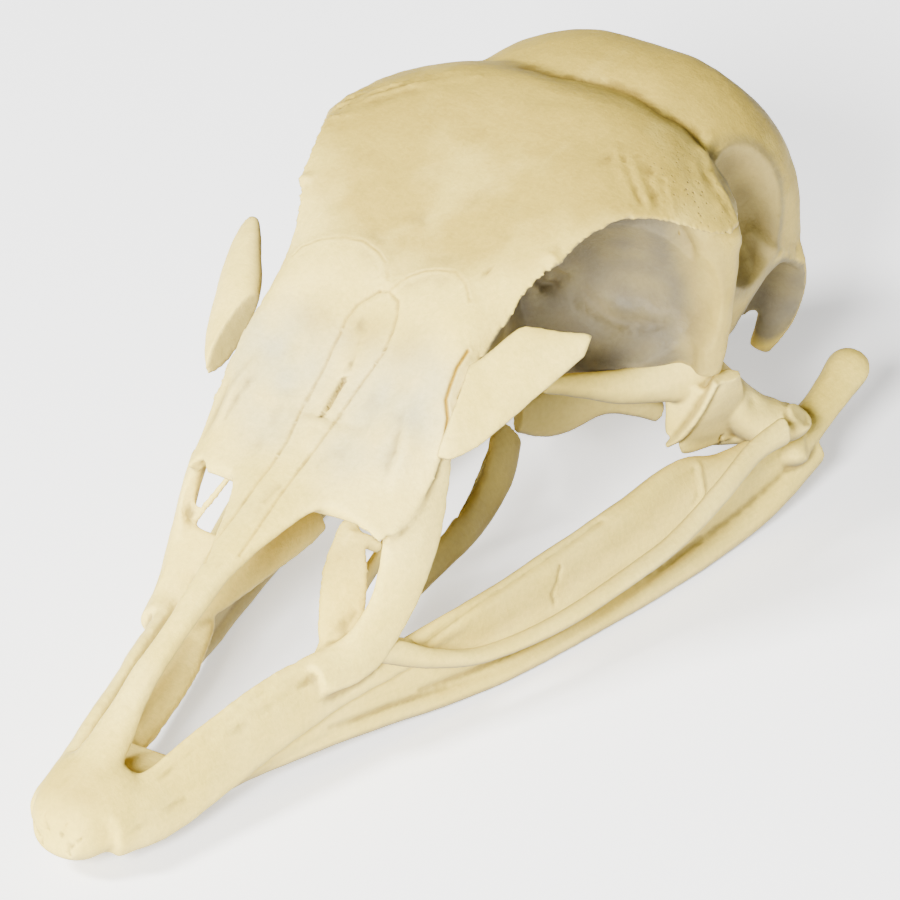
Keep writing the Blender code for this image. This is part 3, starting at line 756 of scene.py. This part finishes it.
def refine(thing, lines, reach):
    """Splits the faces within reach, in millimetres, of the lines of pixels, so that they come out crisp."""
    tree = surface_of(thing)
    points, _ = places_of(thing)
    nearest = np.full(len(points), FAR)
    for pixels in lines:
        for side in (LEFT, RIGHT):
            nearest = np.minimum(nearest, away_from(points, on_bone(tree, pixels, side=side)))
    mesh = bmesh.new()
    mesh.from_mesh(thing.data)
    close = [edge for edge in mesh.edges if min(nearest[vert.index] for vert in edge.verts) < reach]
    bmesh.ops.subdivide_edges(mesh, edges=close, cuts=1)
    bmesh.ops.triangulate(mesh, faces=mesh.faces)
    mesh.to_mesh(thing.data)
    mesh.free()


def carve_cranium(thing, sizes):
    """Cuts the lines, pores and chipped edges, and gives the surface that the colours look for."""
    weather(thing, sizes.waviness)
    thin_out(thing, sizes.most_triangles)
    refine(thing, FINE_LINES, FINE_REACH)
    refine(thing, SHARP_LINES, SHARP_REACH)
    carve(thing, LEFT_CARVING)
    carve(thing, MIRRORED_CARVING, sides=(LEFT, RIGHT))

    tree = surface_of(thing)
    points, normals = places_of(thing)

    def near(pixels, width):
        lines = [on_bone(tree, pixels, side=side) for side in (LEFT, RIGHT)]
        return np.maximum(*[bell(away_from(points, line, 8), width) for line in lines])

    spongy = np.zeros(len(points))
    for pixel, radius, strength in SPONGY_PATCHES:
        spongy = np.maximum(spongy, strength * near((pixel, pixel), radius))
    # Spongy bone is drawn out along the wrinkles, which run across the skull
    cells = 0.6 * pits(points * (0.6, 1, 1), 0.62)
    sponge = spongy * (cells + 0.4 * np.clip(ripple(points * (0.5, 1, 1), 0.7, seed=9), 0, 1))
    teeth = near(ORBIT_MARGIN, 0.5) * np.clip(ripple(points, 0.42, seed=5) + 0.1, 0, 1)
    ragged = near((ORBIT_HOLES[0], ORBIT_HOLES[-1]), 1.1) * np.clip(ripple(points, 1.1, seed=2) + 0.35, 0, 1)
    back = points[:, 1] + SKULL_MIDDLE
    tip = np.clip(1.2 - back / 2.5, 0, 1) * np.clip((CHIPPED_BELOW - REST_HEIGHT - points[:, 2]) / 0.7, 0, 1)
    chips = tip * np.clip(ripple(points, 0.8, seed=7) + 0.3, 0, 1)
    depth = SPONGE_DEPTH * sponge + TEETH_DEPTH * teeth + CHIP_DEPTH * chips + HOLE_DEPTH * ragged
    margin = np.clip(-points[:, 0] / 5 - 1.6, 0, 1) * bell(back - 60, 9)
    wider = FRONTAL_WIDER * margin * np.clip((points[:, 2] - 32) / 4, 0, 1)
    nose = np.clip(-points[:, 0] / 3 - 2.7, 0, 1) * bell(back - 39, 6)
    narrower = NOSE_NARROWER * nose * (points[:, 2] > 20)
    shift = -normals * depth[:, None]
    shift[:, 0] += narrower - wider
    move_by(thing, shift)
    return tree


def colour_cranium(thing, tree):
    """Paints the seams, thin and stained bone, pores, and the painted shade in the hollows, on undersides, in
    holes and in creases of the cranium.
    """
    points, normals = places_of(thing)

    def patches(table):
        amount = np.zeros(len(points))
        for pixel, radius, strength in table:
            for side in (LEFT, RIGHT):
                line = on_bone(tree, (pixel, pixel), side=side)
                amount = np.maximum(amount, strength * bell(away_from(points, line, 12), radius))
        return amount

    def near(lines, width, sides=(LEFT,)):
        amount = np.zeros(len(points))
        for pixels in lines:
            for side in sides:
                amount = np.maximum(amount, bell(away_from(points, on_bone(tree, pixels, side=side)), width))
        return amount

    cloud = ripple(points, CLOUD_SIZE, seed=11)
    back = np.clip((points[:, 1] + SKULL_MIDDLE - 48) / 24, 0, 1)
    paint(thing, "seam", near(LACRIMAL_SEAMS, 0.28) + 0.3 * near(PROCESS_SEAMS + NASAL_ARCS, 0.15))
    paint(thing, "thin", patches(THIN_PATCHES) * (1 + 0.4 * cloud))
    paint(thing, "stain", (2.2 * patches(STAIN_PATCHES) + 0.85 * back) * (1 + 0.3 * cloud))
    paint(thing, "porous", patches(SPONGY_PATCHES))
    # Painted shade on the walls of the orbits and tympanic cavities, weaker in the temporal fossae, and on
    # what faces down
    hollow_shade = np.zeros(len(points))
    for (x, y, z), half, strength in ((*ORBIT, 1), (*TYMPANIC_CAVITY, 1), (*TEMPORAL_FOSSA, 0.6)):
        for side in (LEFT, RIGHT):
            centre = np.array(at(x, y, z, side)) / MM
            outward = (points - centre) / np.array(half)
            inward = np.clip(-3 * np.sum(outward * normals, axis=1), 0, 1)
            near_by = np.clip((1.2 - np.linalg.norm(outward, axis=1)) / 0.1, 0, 1)
            hollow_shade = np.maximum(hollow_shade, strength * inward * near_by)
    # The painted shade on the wall of the orbit fades towards the edge of the postorbital process
    hollow_shade *= 1 - 0.7 * np.clip(np.abs(points[:, 0]) / 4 - 3.6, 0, 1) * (points[:, 1] + SKULL_MIDDLE < 78)
    under = 0.6 * np.clip(-1.5 * normals[:, 2], 0, 1)
    paint(thing, "painted_shade", np.maximum(hollow_shade, under) * (0.92 + 0.1 * cloud))
    # Painted shade inside the slit, the crack and the ragged holes of the orbit wall
    holes = near((ORBIT_HOLES,), 0.8, (LEFT, RIGHT)) * np.clip(0.6 + 1.5 * ripple(points, 1.1, seed=2), 0, 1)
    paint(thing, "hole_shade", 0.55 * near((MIDDLE_SLIT,), 0.22) + near((MIDDLE_CRACK,), 0.12) + 0.8 * holes)
    # Less painted crease shade where the walls of the hollows already have painted shade
    paint(thing, "crease_shade", crease_shading(thing) * (1 - 0.85 * np.clip(1.4 * hollow_shade, 0, 1)))


def places_of(thing):
    """The thing's points and their normals, as two arrays in millimetres and in unit lengths."""
    count = len(thing.data.vertices)
    points = np.empty(count * 3)
    normals = np.empty(count * 3)
    thing.data.vertices.foreach_get("co", points)
    thing.data.vertices.foreach_get("normal", normals)
    return points.reshape(-1, 3) / MM, normals.reshape(-1, 3)


def move_by(thing, offsets):
    """Moves each point of the thing by its offset in millimetres."""
    points, _ = places_of(thing)
    thing.data.vertices.foreach_set("co", ((points + offsets) * MM).ravel())
    thing.data.update()


def crease_shading(thing):
    """How much painted shade each point gets as the bottom of a crease, from 0 to 1."""
    return np.clip((hollowness(thing) - CREASE_START) / CREASE_SPAN, 0, 1)


def paint(thing, name, amounts):
    """Gives the thing a named amount from 0 to 1 at each point, for its material to read."""
    layer = thing.data.attributes.get(name) or thing.data.attributes.new(name, "FLOAT", "POINT")
    layer.data.foreach_set("value", np.clip(amounts, 0, 1).astype(np.float32))


def surface_of(thing):
    mesh = bmesh.new()
    mesh.from_mesh(thing.data)
    tree = BVHTree.FromBMesh(mesh)
    mesh.free()
    return tree


def view_axes():
    """Right, up and back of the photograph's view."""
    back = Vector((
        math.sin(AZIMUTH) * math.cos(ELEVATION), -math.cos(AZIMUTH) * math.cos(ELEVATION), math.sin(ELEVATION)
    ))
    level = Vector((math.cos(AZIMUTH), math.sin(AZIMUTH), 0))
    above = back.cross(level)
    right = math.cos(ROLL) * level + math.sin(ROLL) * above
    up = math.cos(ROLL) * above - math.sin(ROLL) * level
    return right, up, back


def eye():
    return at(*LOOKED_AT) + view_axes()[2] * DISTANCE * MM


def on_bone(tree, pixels, step=5, side=LEFT):
    """A line of pixels of the photograph as points on the bone, in millimetres of the part's frame."""
    right, up, back = view_axes()
    found = []
    for (ax, ay), (bx, by) in zip(pixels[:-1], pixels[1:]):
        parts = max(1, round(math.hypot(bx - ax, by - ay) / step))
        for i in range(parts + 1):
            x = ax + (bx - ax) * i / parts - PHOTO_SIDE / 2
            y = PHOTO_SIDE / 2 - ay - (by - ay) * i / parts
            hit = tree.ray_cast(eye(), (right * x + up * y) / FOCAL_PIXELS - back)[0]
            if hit:
                if side == RIGHT:
                    hit = tree.find_nearest(Vector((-hit.x, hit.y, hit.z)))[0]
                found.append(np.array(hit) / MM)
    return found


def away_from(points, line, reach=FAR):
    """How far each point is from the line in millimetres, as far as reach."""
    least = np.full(len(points), float(reach))
    if not line:
        return least
    corners = np.array(line)
    near = np.all((points > corners.min(0) - reach) & (points < corners.max(0) + reach), axis=1)
    places = points[near]
    found = least[near]
    for start, end in zip(line[:-1], line[1:]):
        along = end - start
        if along @ along < LEAP**2:
            share = np.clip((places - start) @ along / max(along @ along, 1e-9), 0, 1)
            found = np.minimum(found, np.linalg.norm(places - start - share[:, None] * along, axis=1))
    least[near] = found
    return least


def ripple(points, size, seed=0):
    """Smooth noise from -1 to 1 with waves of that size in millimetres."""
    shift = Vector((seed * 7.3, seed * 3.1, -seed * 5.7))
    return np.array([noise.noise(Vector(point) + shift) for point in points / size])


def pits(points, size):
    """1 in the middle of cells of that size and 0 at their walls."""
    return np.array([max(0, 1 - 2.2 * noise.voronoi(Vector(point))[0][0]) for point in points / size])


def hollowness(thing, rounds=4):
    """How deep each point lies among its neighbours, from 0 on flat bone to 1 in a crease."""
    points, normals = places_of(thing)
    ends = np.empty(len(thing.data.edges) * 2, dtype=np.int32)
    thing.data.edges.foreach_get("vertices", ends)
    one, other = ends.reshape(-1, 2).T
    count = np.bincount(ends, minlength=len(points)).astype(float)

    def around(values):
        total = np.bincount(one, values[other], len(points)) + np.bincount(other, values[one], len(points))
        return total / count

    middle = np.stack([around(points[:, i]) for i in range(3)], axis=1)
    depth = np.sum((middle - points) * normals, axis=1)
    for _ in range(rounds):
        depth = 0.5 * depth + 0.5 * around(depth)
    return depth


def carve(thing, groups, sides=(LEFT,)):
    """Cuts grooves, or raises ridges, along groups of lines of pixels with their depth and width."""
    tree = surface_of(thing)
    points, normals = places_of(thing)
    depth = np.zeros(len(points))
    for lines, deep, width in groups:
        for pixels in lines:
            nearest = np.full(len(points), FAR)
            for side in sides:
                nearest = np.minimum(nearest, away_from(points, on_bone(tree, pixels, side=side)))
            depth += deep * bell(nearest, width)
    move_by(thing, -normals * depth[:, None])


def bell(distance, width):
    """1 on the line and nearly 0 at twice the width from it."""
    return np.exp(-((distance / width) ** 2))


class SkullSizes(bpy.types.PropertyGroup):
    """Sizes of the bone surface that a user would change."""

    fineness: FloatProperty(
        name="Fineness", description="Size of the cranium's first faces, in millimetres", default=0.27
    )
    waviness: FloatProperty(
        name="Waviness", description="Height of the low waves of the bone, in millimetres", default=0.16
    )
    most_triangles: IntProperty(
        name="Most triangles", description="Triangles of the cranium before its lines are cut", default=142000
    )


class SkullColours(bpy.types.PropertyGroup):
    """Colours of the dry bone and of its painted shade, as sRGB hex values."""

    ivory: StringProperty(name="Ivory", description="Clean bone in the light", default="F3DC7C")
    honey: StringProperty(name="Honey", description="Bone yellowed by its own fat", default="DFC44C")
    straw: StringProperty(name="Straw", description="Deepest yellow patches", default="B79E40")
    amber: StringProperty(name="Amber", description="Dried tissue in the seams", default="A0801A")
    ash: StringProperty(name="Ash", description="Thin bone that lets shade through", default="B2B096")
    # Painted shade, brown, at the bottom of creases
    crease_shade_brown: StringProperty(name="Earth", description="Brown in the creases of the bone", default="66501F")
    # Painted shade: the grey-brown of hollows, undersides and faces turned to the middle of the skull
    painted_shade: StringProperty(name="Dusk", description="Grey-brown bone inside the hollows", default="645D4A")


def linear(hexes):
    """An sRGB hex value as linear red, green, blue and alpha."""
    channels = [int(hexes[i : i + 2], 16) / 255 for i in (0, 2, 4)]
    return [c / 12.92 if c <= 0.04045 else ((c + 0.055) / 1.055) ** 2.4 for c in channels] + [1]


def add(tree, kind, settings=None, inputs=None):
    """Adds a node with its settings and its inputs, each a value or another node's output."""
    node = tree.nodes.new("ShaderNode" + kind)
    for setting, value in (settings or {}).items():
        setattr(node, setting, value)
    for socket, value in (inputs or {}).items():
        if isinstance(value, bpy.types.NodeSocket):
            tree.links.new(value, node.inputs[socket])
        else:
            node.inputs[socket].default_value = value
    return node


def blend(tree, amount, below, above, kind="MIX"):
    """The colour between two others, by an amount that is a value or a node's output."""
    settings = {"data_type": "RGBA", "blend_type": kind, "clamp_factor": True}
    return add(tree, "Mix", settings, {0: amount, 6: below, 7: above}).outputs[2]


def dry_bone(name, colours, honey=0.5, fibre=0.5):
    """Cleaned dry bone: close and matt, ivory where it is thick and honey-coloured where fat yellowed it."""
    material = bpy.data.materials.new(name)
    material.use_nodes = True
    tree = material.node_tree
    shader = tree.nodes["Principled BSDF"]
    where = add(tree, "TexCoord").outputs["Object"]

    def amount(layer):
        return add(tree, "Attribute", {"attribute_name": layer}).outputs["Fac"]

    # Clouds of yellowing 14 mm across, broken up by smaller ones
    clouds = add(tree, "TexNoise", None, {
        "Vector": where, "Scale": 1000 / 14, "Detail": 4, "Roughness": 0.55,
    })
    spread = add(tree, "MapRange", None, {
        "Value": clouds.outputs["Fac"], "From Min": 0.36, "From Max": 0.66, "To Min": honey - 0.28,
        "To Max": honey + 0.28,
    })
    colour = blend(tree, spread.outputs["Result"], linear(colours.ivory), linear(colours.honey))
    colour = blend(tree, amount("stain"), colour, linear(colours.straw))
    colour = blend(tree, amount("thin"), colour, linear(colours.ash))
    # Painted shade, grey-brown, in the hollows and on faces turned from the light
    colour = blend(tree, amount("painted_shade"), colour, linear(colours.painted_shade))
    # Painted shade, brown, deepest at the bottom of creases
    crease_shade = add(tree, "Math", {"operation": "MULTIPLY"}, {0: amount("crease_shade"), 1: CREASE_SHARE})
    colour = blend(tree, crease_shade.outputs[0], colour, linear(colours.crease_shade_brown))
    # Speckle of 0.5 mm, the open ends of the bone's canals
    speck = add(tree, "TexNoise", None, {"Vector": where, "Scale": 1000 / 0.5, "Detail": 3, "Roughness": 0.6})
    speckle = add(tree, "MapRange", None, {
        "Value": speck.outputs["Fac"], "From Min": 0.3, "From Max": 0.7, "To Min": 0.93, "To Max": 1.05,
    })
    # Fibres that run along the bone, 0.35 mm wide and 7 mm long
    along = add(tree, "Mapping", None, {"Vector": where, "Scale": (1, 0.05, 1)})
    fibres = add(tree, "TexNoise", None, {
        "Vector": along.outputs[0], "Scale": 1000 / 0.35, "Detail": 3, "Roughness": 0.5,
    })
    streaks = add(tree, "MapRange", None, {
        "Value": fibres.outputs["Fac"], "From Min": 0.3, "From Max": 0.7, "To Min": 1 - 0.09 * fibre,
        "To Max": 1 + 0.05 * fibre,
    })
    shade = add(tree, "Math", {"operation": "MULTIPLY"}, {0: speckle.outputs[0], 1: streaks.outputs[0]})
    grey = add(tree, "CombineColor", None, dict.fromkeys(("Red", "Green", "Blue"), shade.outputs[0]))
    colour = blend(tree, 1.0, colour, grey.outputs[0], "MULTIPLY")
    colour = blend(tree, amount("seam"), colour, linear(colours.amber))
    # Pores of spongy bone, 0.6 mm apart, with brown painted shade at the bottom
    pores = add(tree, "TexVoronoi", None, {"Vector": where, "Scale": 1000 / 0.6})
    holes = add(tree, "MapRange", None, {
        "Value": pores.outputs["Distance"], "From Min": 0.08, "From Max": 0.24, "To Min": 1, "To Max": 0,
    })
    pits = add(tree, "Math", {"operation": "MULTIPLY"}, {0: holes.outputs[0], 1: amount("porous")})
    colour = blend(tree, pits.outputs[0], colour, linear(PORE_SHADE_BROWN))
    # Painted shade, near black-brown, inside holes, slits and cracks
    colour = blend(tree, amount("hole_shade"), colour, linear(HOLE_SHADE_BROWN))
    tree.links.new(colour, shader.inputs["Base Color"])

    rough = add(tree, "MapRange", None, {
        "Value": clouds.outputs["Fac"], "From Min": 0.3, "From Max": 0.7, "To Min": 0.5, "To Max": 0.66,
    })
    tree.links.new(rough.outputs[0], shader.inputs["Roughness"])
    relief = add(tree, "Math", {"operation": "MULTIPLY_ADD"}, {
        0: fibres.outputs["Fac"], 1: fibre, 2: speck.outputs["Fac"],
    })
    relief = add(tree, "Math", {"operation": "SUBTRACT"}, {0: relief.outputs[0], 1: pits.outputs[0]})
    bump = add(tree, "Bump", None, {"Strength": 0.5, "Distance": 0.00012, "Height": relief.outputs[0]})
    tree.links.new(bump.outputs["Normal"], shader.inputs["Normal"])
    shader.inputs["IOR"].default_value = 1.5
    shader.inputs["Specular IOR Level"].default_value = 0.25
    shader.inputs["Subsurface Weight"].default_value = 0.08
    shader.inputs["Subsurface Radius"].default_value = (1.0, 0.85, 0.55)
    shader.inputs["Subsurface Scale"].default_value = 0.0012
    return material


def flatten(thing):
    """Presses what hangs under the floor's height up to it, the flat strips that the jaw rests on."""
    points, _ = places_of(thing)
    lift = np.zeros_like(points)
    lift[:, 2] = np.maximum(0, -points[:, 2])
    move_by(thing, lift)


def finish_bone(thing, stain=0.12, shade=0.0):
    """Paints the crease shade, stains and grey-brown painted shade of a bone without lines of its own."""
    points, normals = places_of(thing)
    paint(thing, "crease_shade", crease_shading(thing))
    paint(thing, "stain", stain + 0.5 * stain * ripple(points, CLOUD_SIZE, seed=11))
    # Painted shade, grey-brown: on what faces down, and on what faces the middle of the skull
    inside = -0.7 * normals[:, 0] * np.sign(points[:, 0]) * np.clip(np.abs(points[:, 0]) / 4, 0, 1)
    hidden = np.clip(np.maximum(inside, -1.5 * normals[:, 2]), 0, 1)
    paint(thing, "painted_shade", np.maximum(shade, 0.9 * hidden))


def dress(thing, material, node):
    """Gives a finished bone its material and puts it in its CAD node's place."""
    thing.data.materials.clear()
    thing.data.materials.append(material)
    thing.data.shade_smooth()
    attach(thing, "root")
    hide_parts(node)


class SKULL_OT_cranium(bpy.types.Operator):
    """Cranium with the upper beak, carved with its seams, wrinkles and pores"""

    bl_idname = "skull.cranium"
    bl_label = "Cranium"

    def execute(self, context):
        sizes = context.scene.skull_sizes
        forms = [roof(), rings(BRAINCASE, BRAINCASE_SQUARENESS), rings(BEAK_TIP, BEAK_SQUARENESS)]
        forms += [limb(CULMEN, breadth=(1, 0, 0)), limb(SEPTUM), limb(ROSTRUM)]
        forms += [limb(CONDYLE, breadth=(1, 0, 0))]
        for rows, breadth in (
            (MAXILLA, MAXILLA_BREADTH), (NASAL_BAR, (0.5, 0.83, -0.25)), (PALATE_SHELF, SHELF_BREADTH),
            (MAXILLA_LEAF, (0.7, 0.7, 0)), (MAXILLA_LOBE, (0.3, 0, 1)), (POSTORBITAL, (0, 1, 0)),
            (POSTORBITAL_WALL, (1, 0, 0)), (SQUAMOSAL_KNOB, (0, 1, 0)), (PAROCCIPITAL, (0.8, 0.6, 0)),
        ):
            forms += both(limb, rows, breadth)
        hollows = [ellipsoid(*FORAMEN_MAGNUM), ellipsoid(*SEPTUM_WINDOW)]
        hollows.append(ellipsoid(*NOSTRIL_ARCH, side=RIGHT))
        for hollow in (ORBIT, TEMPORAL_FOSSA, TYMPANIC_CAVITY):
            hollows += both(ellipsoid, *hollow)
        forms += [
            limb(LEAF_FLAP, breadth=(0.3, 0, 1)),
            limb(NOSTRIL_SPLINT, side=RIGHT),
            limb(NOSTRIL_SHEET, breadth=(1, 0, 0.3), side=RIGHT),
        ]
        thing = bone("cranium_bone", forms, hollows, voxel=sizes.fineness)
        colour_cranium(thing, carve_cranium(thing, sizes))
        material = dry_bone("Cleaned dry bone, cranium", context.scene.skull_colours, 0.45)
        dress(thing, material, "cranium")
        return {"FINISHED"}


class SKULL_OT_mandible(bpy.types.Operator):
    """Lower jaw, with flat strips under its edges"""

    bl_idname = "skull.mandible"
    bl_label = "Mandible"

    def execute(self, context):
        forms = [limb(SYMPHYSIS, breadth=(1, 0, 0))]
        for rows, breadth in (
            (RAMUS_PLATE, (0, 0, 1)), (RAMUS_UPPER_RIM, (0, 0, 1)), (RAMUS_LOWER_RIM, (0, 0, 1)),
            (ARTICULAR, (0, 1, 0)), (RETROARTICULAR, (0, 0, 1)),
        ):
            forms += both(limb, rows, breadth)
        thing = bone("mandible_bone", forms, voxel=0.25)
        weather(thing, 0.5 * context.scene.skull_sizes.waviness)
        carve(thing, JAW_CARVING, sides=(LEFT, RIGHT))
        flatten(thing)
        finish_bone(thing)
        material = dry_bone("Cleaned dry bone, mandible", context.scene.skull_colours)
        dress(thing, material, "mandible")
        return {"FINISHED"}


class SKULL_OT_lacrimals(bpy.types.Operator):
    """Lacrimal bones, the blades before the eye sockets"""

    bl_idname = "skull.lacrimals"
    bl_label = "Lacrimals"

    def execute(self, context):
        material = dry_bone("Cleaned dry bone, lacrimal", context.scene.skull_colours, 0.45, fibre=0.3)
        for side, end in SIDES:
            rows = LACRIMAL if side == LEFT else LACRIMAL_RIGHT
            blade = limb(rows, breadth=LACRIMAL_BREADTH, side=side, square=False)
            thing = bone("lacrimal_bone_" + end, [blade])
            weather(thing, context.scene.skull_sizes.waviness)
            finish_bone(thing)
            dress(thing, material, "lacrimal_" + end)
        return {"FINISHED"}


class SKULL_OT_quadrates(bpy.types.Operator):
    """Quadrate bones, which carry the lower jaw"""

    bl_idname = "skull.quadrates"
    bl_label = "Quadrates"

    def execute(self, context):
        material = dry_bone("Cleaned dry bone, quadrate", context.scene.skull_colours, 0.4, fibre=0.2)
        for side, end in SIDES:
            forms = [limb(rows, breadth, side) for rows, breadth in (
                (QUADRATE_BODY, (0, 1, 0)), (QUADRATE_ORBITAL, (0, 0, 1)), (QUADRATE_SHOULDER, (0, 0, 1)),
                (QUADRATE_CREST, (0.5, -0.8, 0)), (QUADRATE_WEB, (0.36, 0.92, -0.18)),
                (QUADRATE_WING, (0.9, 0.35, 0.2)), (QUADRATE_CONDYLES, (0, 1, 0)),
            )]
            thing = bone("quadrate_bone_" + end, forms)
            weather(thing, context.scene.skull_sizes.waviness)
            carve(thing, QUADRATE_CARVING)
            finish_bone(thing, 0.15)
            dress(thing, material, "quadrate_" + end)
        return {"FINISHED"}


class SKULL_OT_jugals(bpy.types.Operator):
    """Jugal bars, the thin cheek bars from the beak to the quadrates"""

    bl_idname = "skull.jugals"
    bl_label = "Jugals"

    def execute(self, context):
        material = dry_bone("Cleaned dry bone, jugal", context.scene.skull_colours, 0.4)
        for side, end in SIDES:
            thing = bone("jugal_bone_" + end, [limb(JUGAL, side=side)])
            weather(thing, 0.4 * context.scene.skull_sizes.waviness)
            finish_bone(thing)
            dress(thing, material, "jugal_" + end)
        return {"FINISHED"}


class SKULL_OT_palate(bpy.types.Operator):
    """Palatine and pterygoid bones under the eye sockets"""

    bl_idname = "skull.palate"
    bl_label = "Palate"

    def execute(self, context):
        material = dry_bone("Cleaned dry bone, palate", context.scene.skull_colours, 0.4, fibre=0.3)
        for side, end in SIDES:
            for rows, breadth, name in (
                (PALATINE, (-0.5, 0, 1), "palatine"), (PTERYGOID, (0, 0, 1), "pterygoid"),
            ):
                thing = bone(name + "_bone_" + end, [limb(rows, breadth=breadth, side=side)])
                weather(thing, 0.7 * context.scene.skull_sizes.waviness)
                if name == "palatine":
                    carve(thing, PALATINE_CARVING)
                # Painted shade over the whole palatine and pterygoid, which lie in shade
                finish_bone(thing, shade=0.5)
                dress(thing, material, name + "_" + end)
        return {"FINISHED"}


class SKULL_OT_stage(bpy.types.Operator):
    """Pale floor, soft studio light and the photograph's camera"""

    bl_idname = "skull.stage"
    bl_label = "Stage"

    def execute(self, context):
        scene = context.scene
        mesh = bmesh.new()
        bmesh.ops.create_grid(mesh, x_segments=1, y_segments=1, size=FLOOR_HALF_SIDE)
        bmesh.ops.translate(mesh, vec=(0, 0, -FLOOR_DROP), verts=mesh.verts)
        data = bpy.data.meshes.new("floor")
        mesh.to_mesh(data)
        mesh.free()
        floor = bpy.data.objects.new("floor", data)
        scene.collection.objects.link(floor)
        paper = bpy.data.materials.new("White paper sweep")
        paper.use_nodes = True
        shader = paper.node_tree.nodes["Principled BSDF"]
        shader.inputs["Base Color"].default_value = linear(WHITE)
        shader.inputs["Roughness"].default_value = 0.9
        # Lit a little from behind, as a light table is, so that it stays white around the shadow
        shader.inputs["Emission Color"].default_value = linear(WHITE)
        shader.inputs["Emission Strength"].default_value = FLOOR_GLOW
        data.materials.append(paper)

        world = bpy.data.worlds.new("Studio")
        scene.world = world
        world.use_nodes = True
        background = world.node_tree.nodes["Background"]
        background.inputs["Color"].default_value = (1, 1, 1, 1)
        background.inputs["Strength"].default_value = WORLD_STRENGTH

        for name, place, size, power in LAMPS:
            lamp = bpy.data.lights.new(name, "AREA")
            lamp.size = size
            lamp.energy = power
            light = bpy.data.objects.new(name, lamp)
            light.location = place
            light.rotation_euler = (LIT_PLACE - Vector(place)).to_track_quat("-Z", "Y").to_euler()
            scene.collection.objects.link(light)

        camera_data = bpy.data.cameras.new("camera")
        camera_data.sensor_width = SENSOR
        camera_data.lens = SENSOR * FOCAL_PIXELS / PHOTO_SIDE
        camera_data.clip_end = 10
        camera = bpy.data.objects.new("camera", camera_data)
        right, up, back = view_axes()
        turn = Matrix((right, up, back)).transposed().to_4x4()
        camera.matrix_world = Matrix.Translation(eye()) @ turn
        scene.collection.objects.link(camera)
        scene.camera = camera
        return {"FINISHED"}


class SKULL_PT_panel(bpy.types.Panel):
    """Lists the skull's pieces in the sidebar"""

    bl_idname = "SKULL_PT_panel"
    bl_label = "Turkey skull"
    bl_space_type = "VIEW_3D"
    bl_region_type = "UI"
    bl_category = "Skull"

    def draw(self, context):
        for group in (context.scene.skull_sizes, context.scene.skull_colours):
            for name in group.__annotations__:
                self.layout.prop(group, name)
        for piece in PIECES:
            self.layout.operator(piece.bl_idname)


PIECES = (
    SKULL_OT_cranium,
    SKULL_OT_mandible,
    SKULL_OT_lacrimals,
    SKULL_OT_quadrates,
    SKULL_OT_jugals,
    SKULL_OT_palate,
    SKULL_OT_stage,
)
CLASSES = (SkullSizes, SkullColours, *PIECES, SKULL_PT_panel)


def register():
    for kind in CLASSES:
        bpy.utils.register_class(kind)
    bpy.types.Scene.skull_sizes = PointerProperty(type=SkullSizes)
    bpy.types.Scene.skull_colours = PointerProperty(type=SkullColours)


def unregister():
    del bpy.types.Scene.skull_colours
    del bpy.types.Scene.skull_sizes
    for kind in reversed(CLASSES):
        bpy.utils.unregister_class(kind)


def main():
    register()
    bpy.ops.skull.cranium()
    bpy.ops.skull.mandible()
    bpy.ops.skull.lacrimals()
    bpy.ops.skull.quadrates()
    bpy.ops.skull.jugals()
    bpy.ops.skull.palate()
    bpy.ops.skull.stage()


if __name__ == "__main__":
    main()
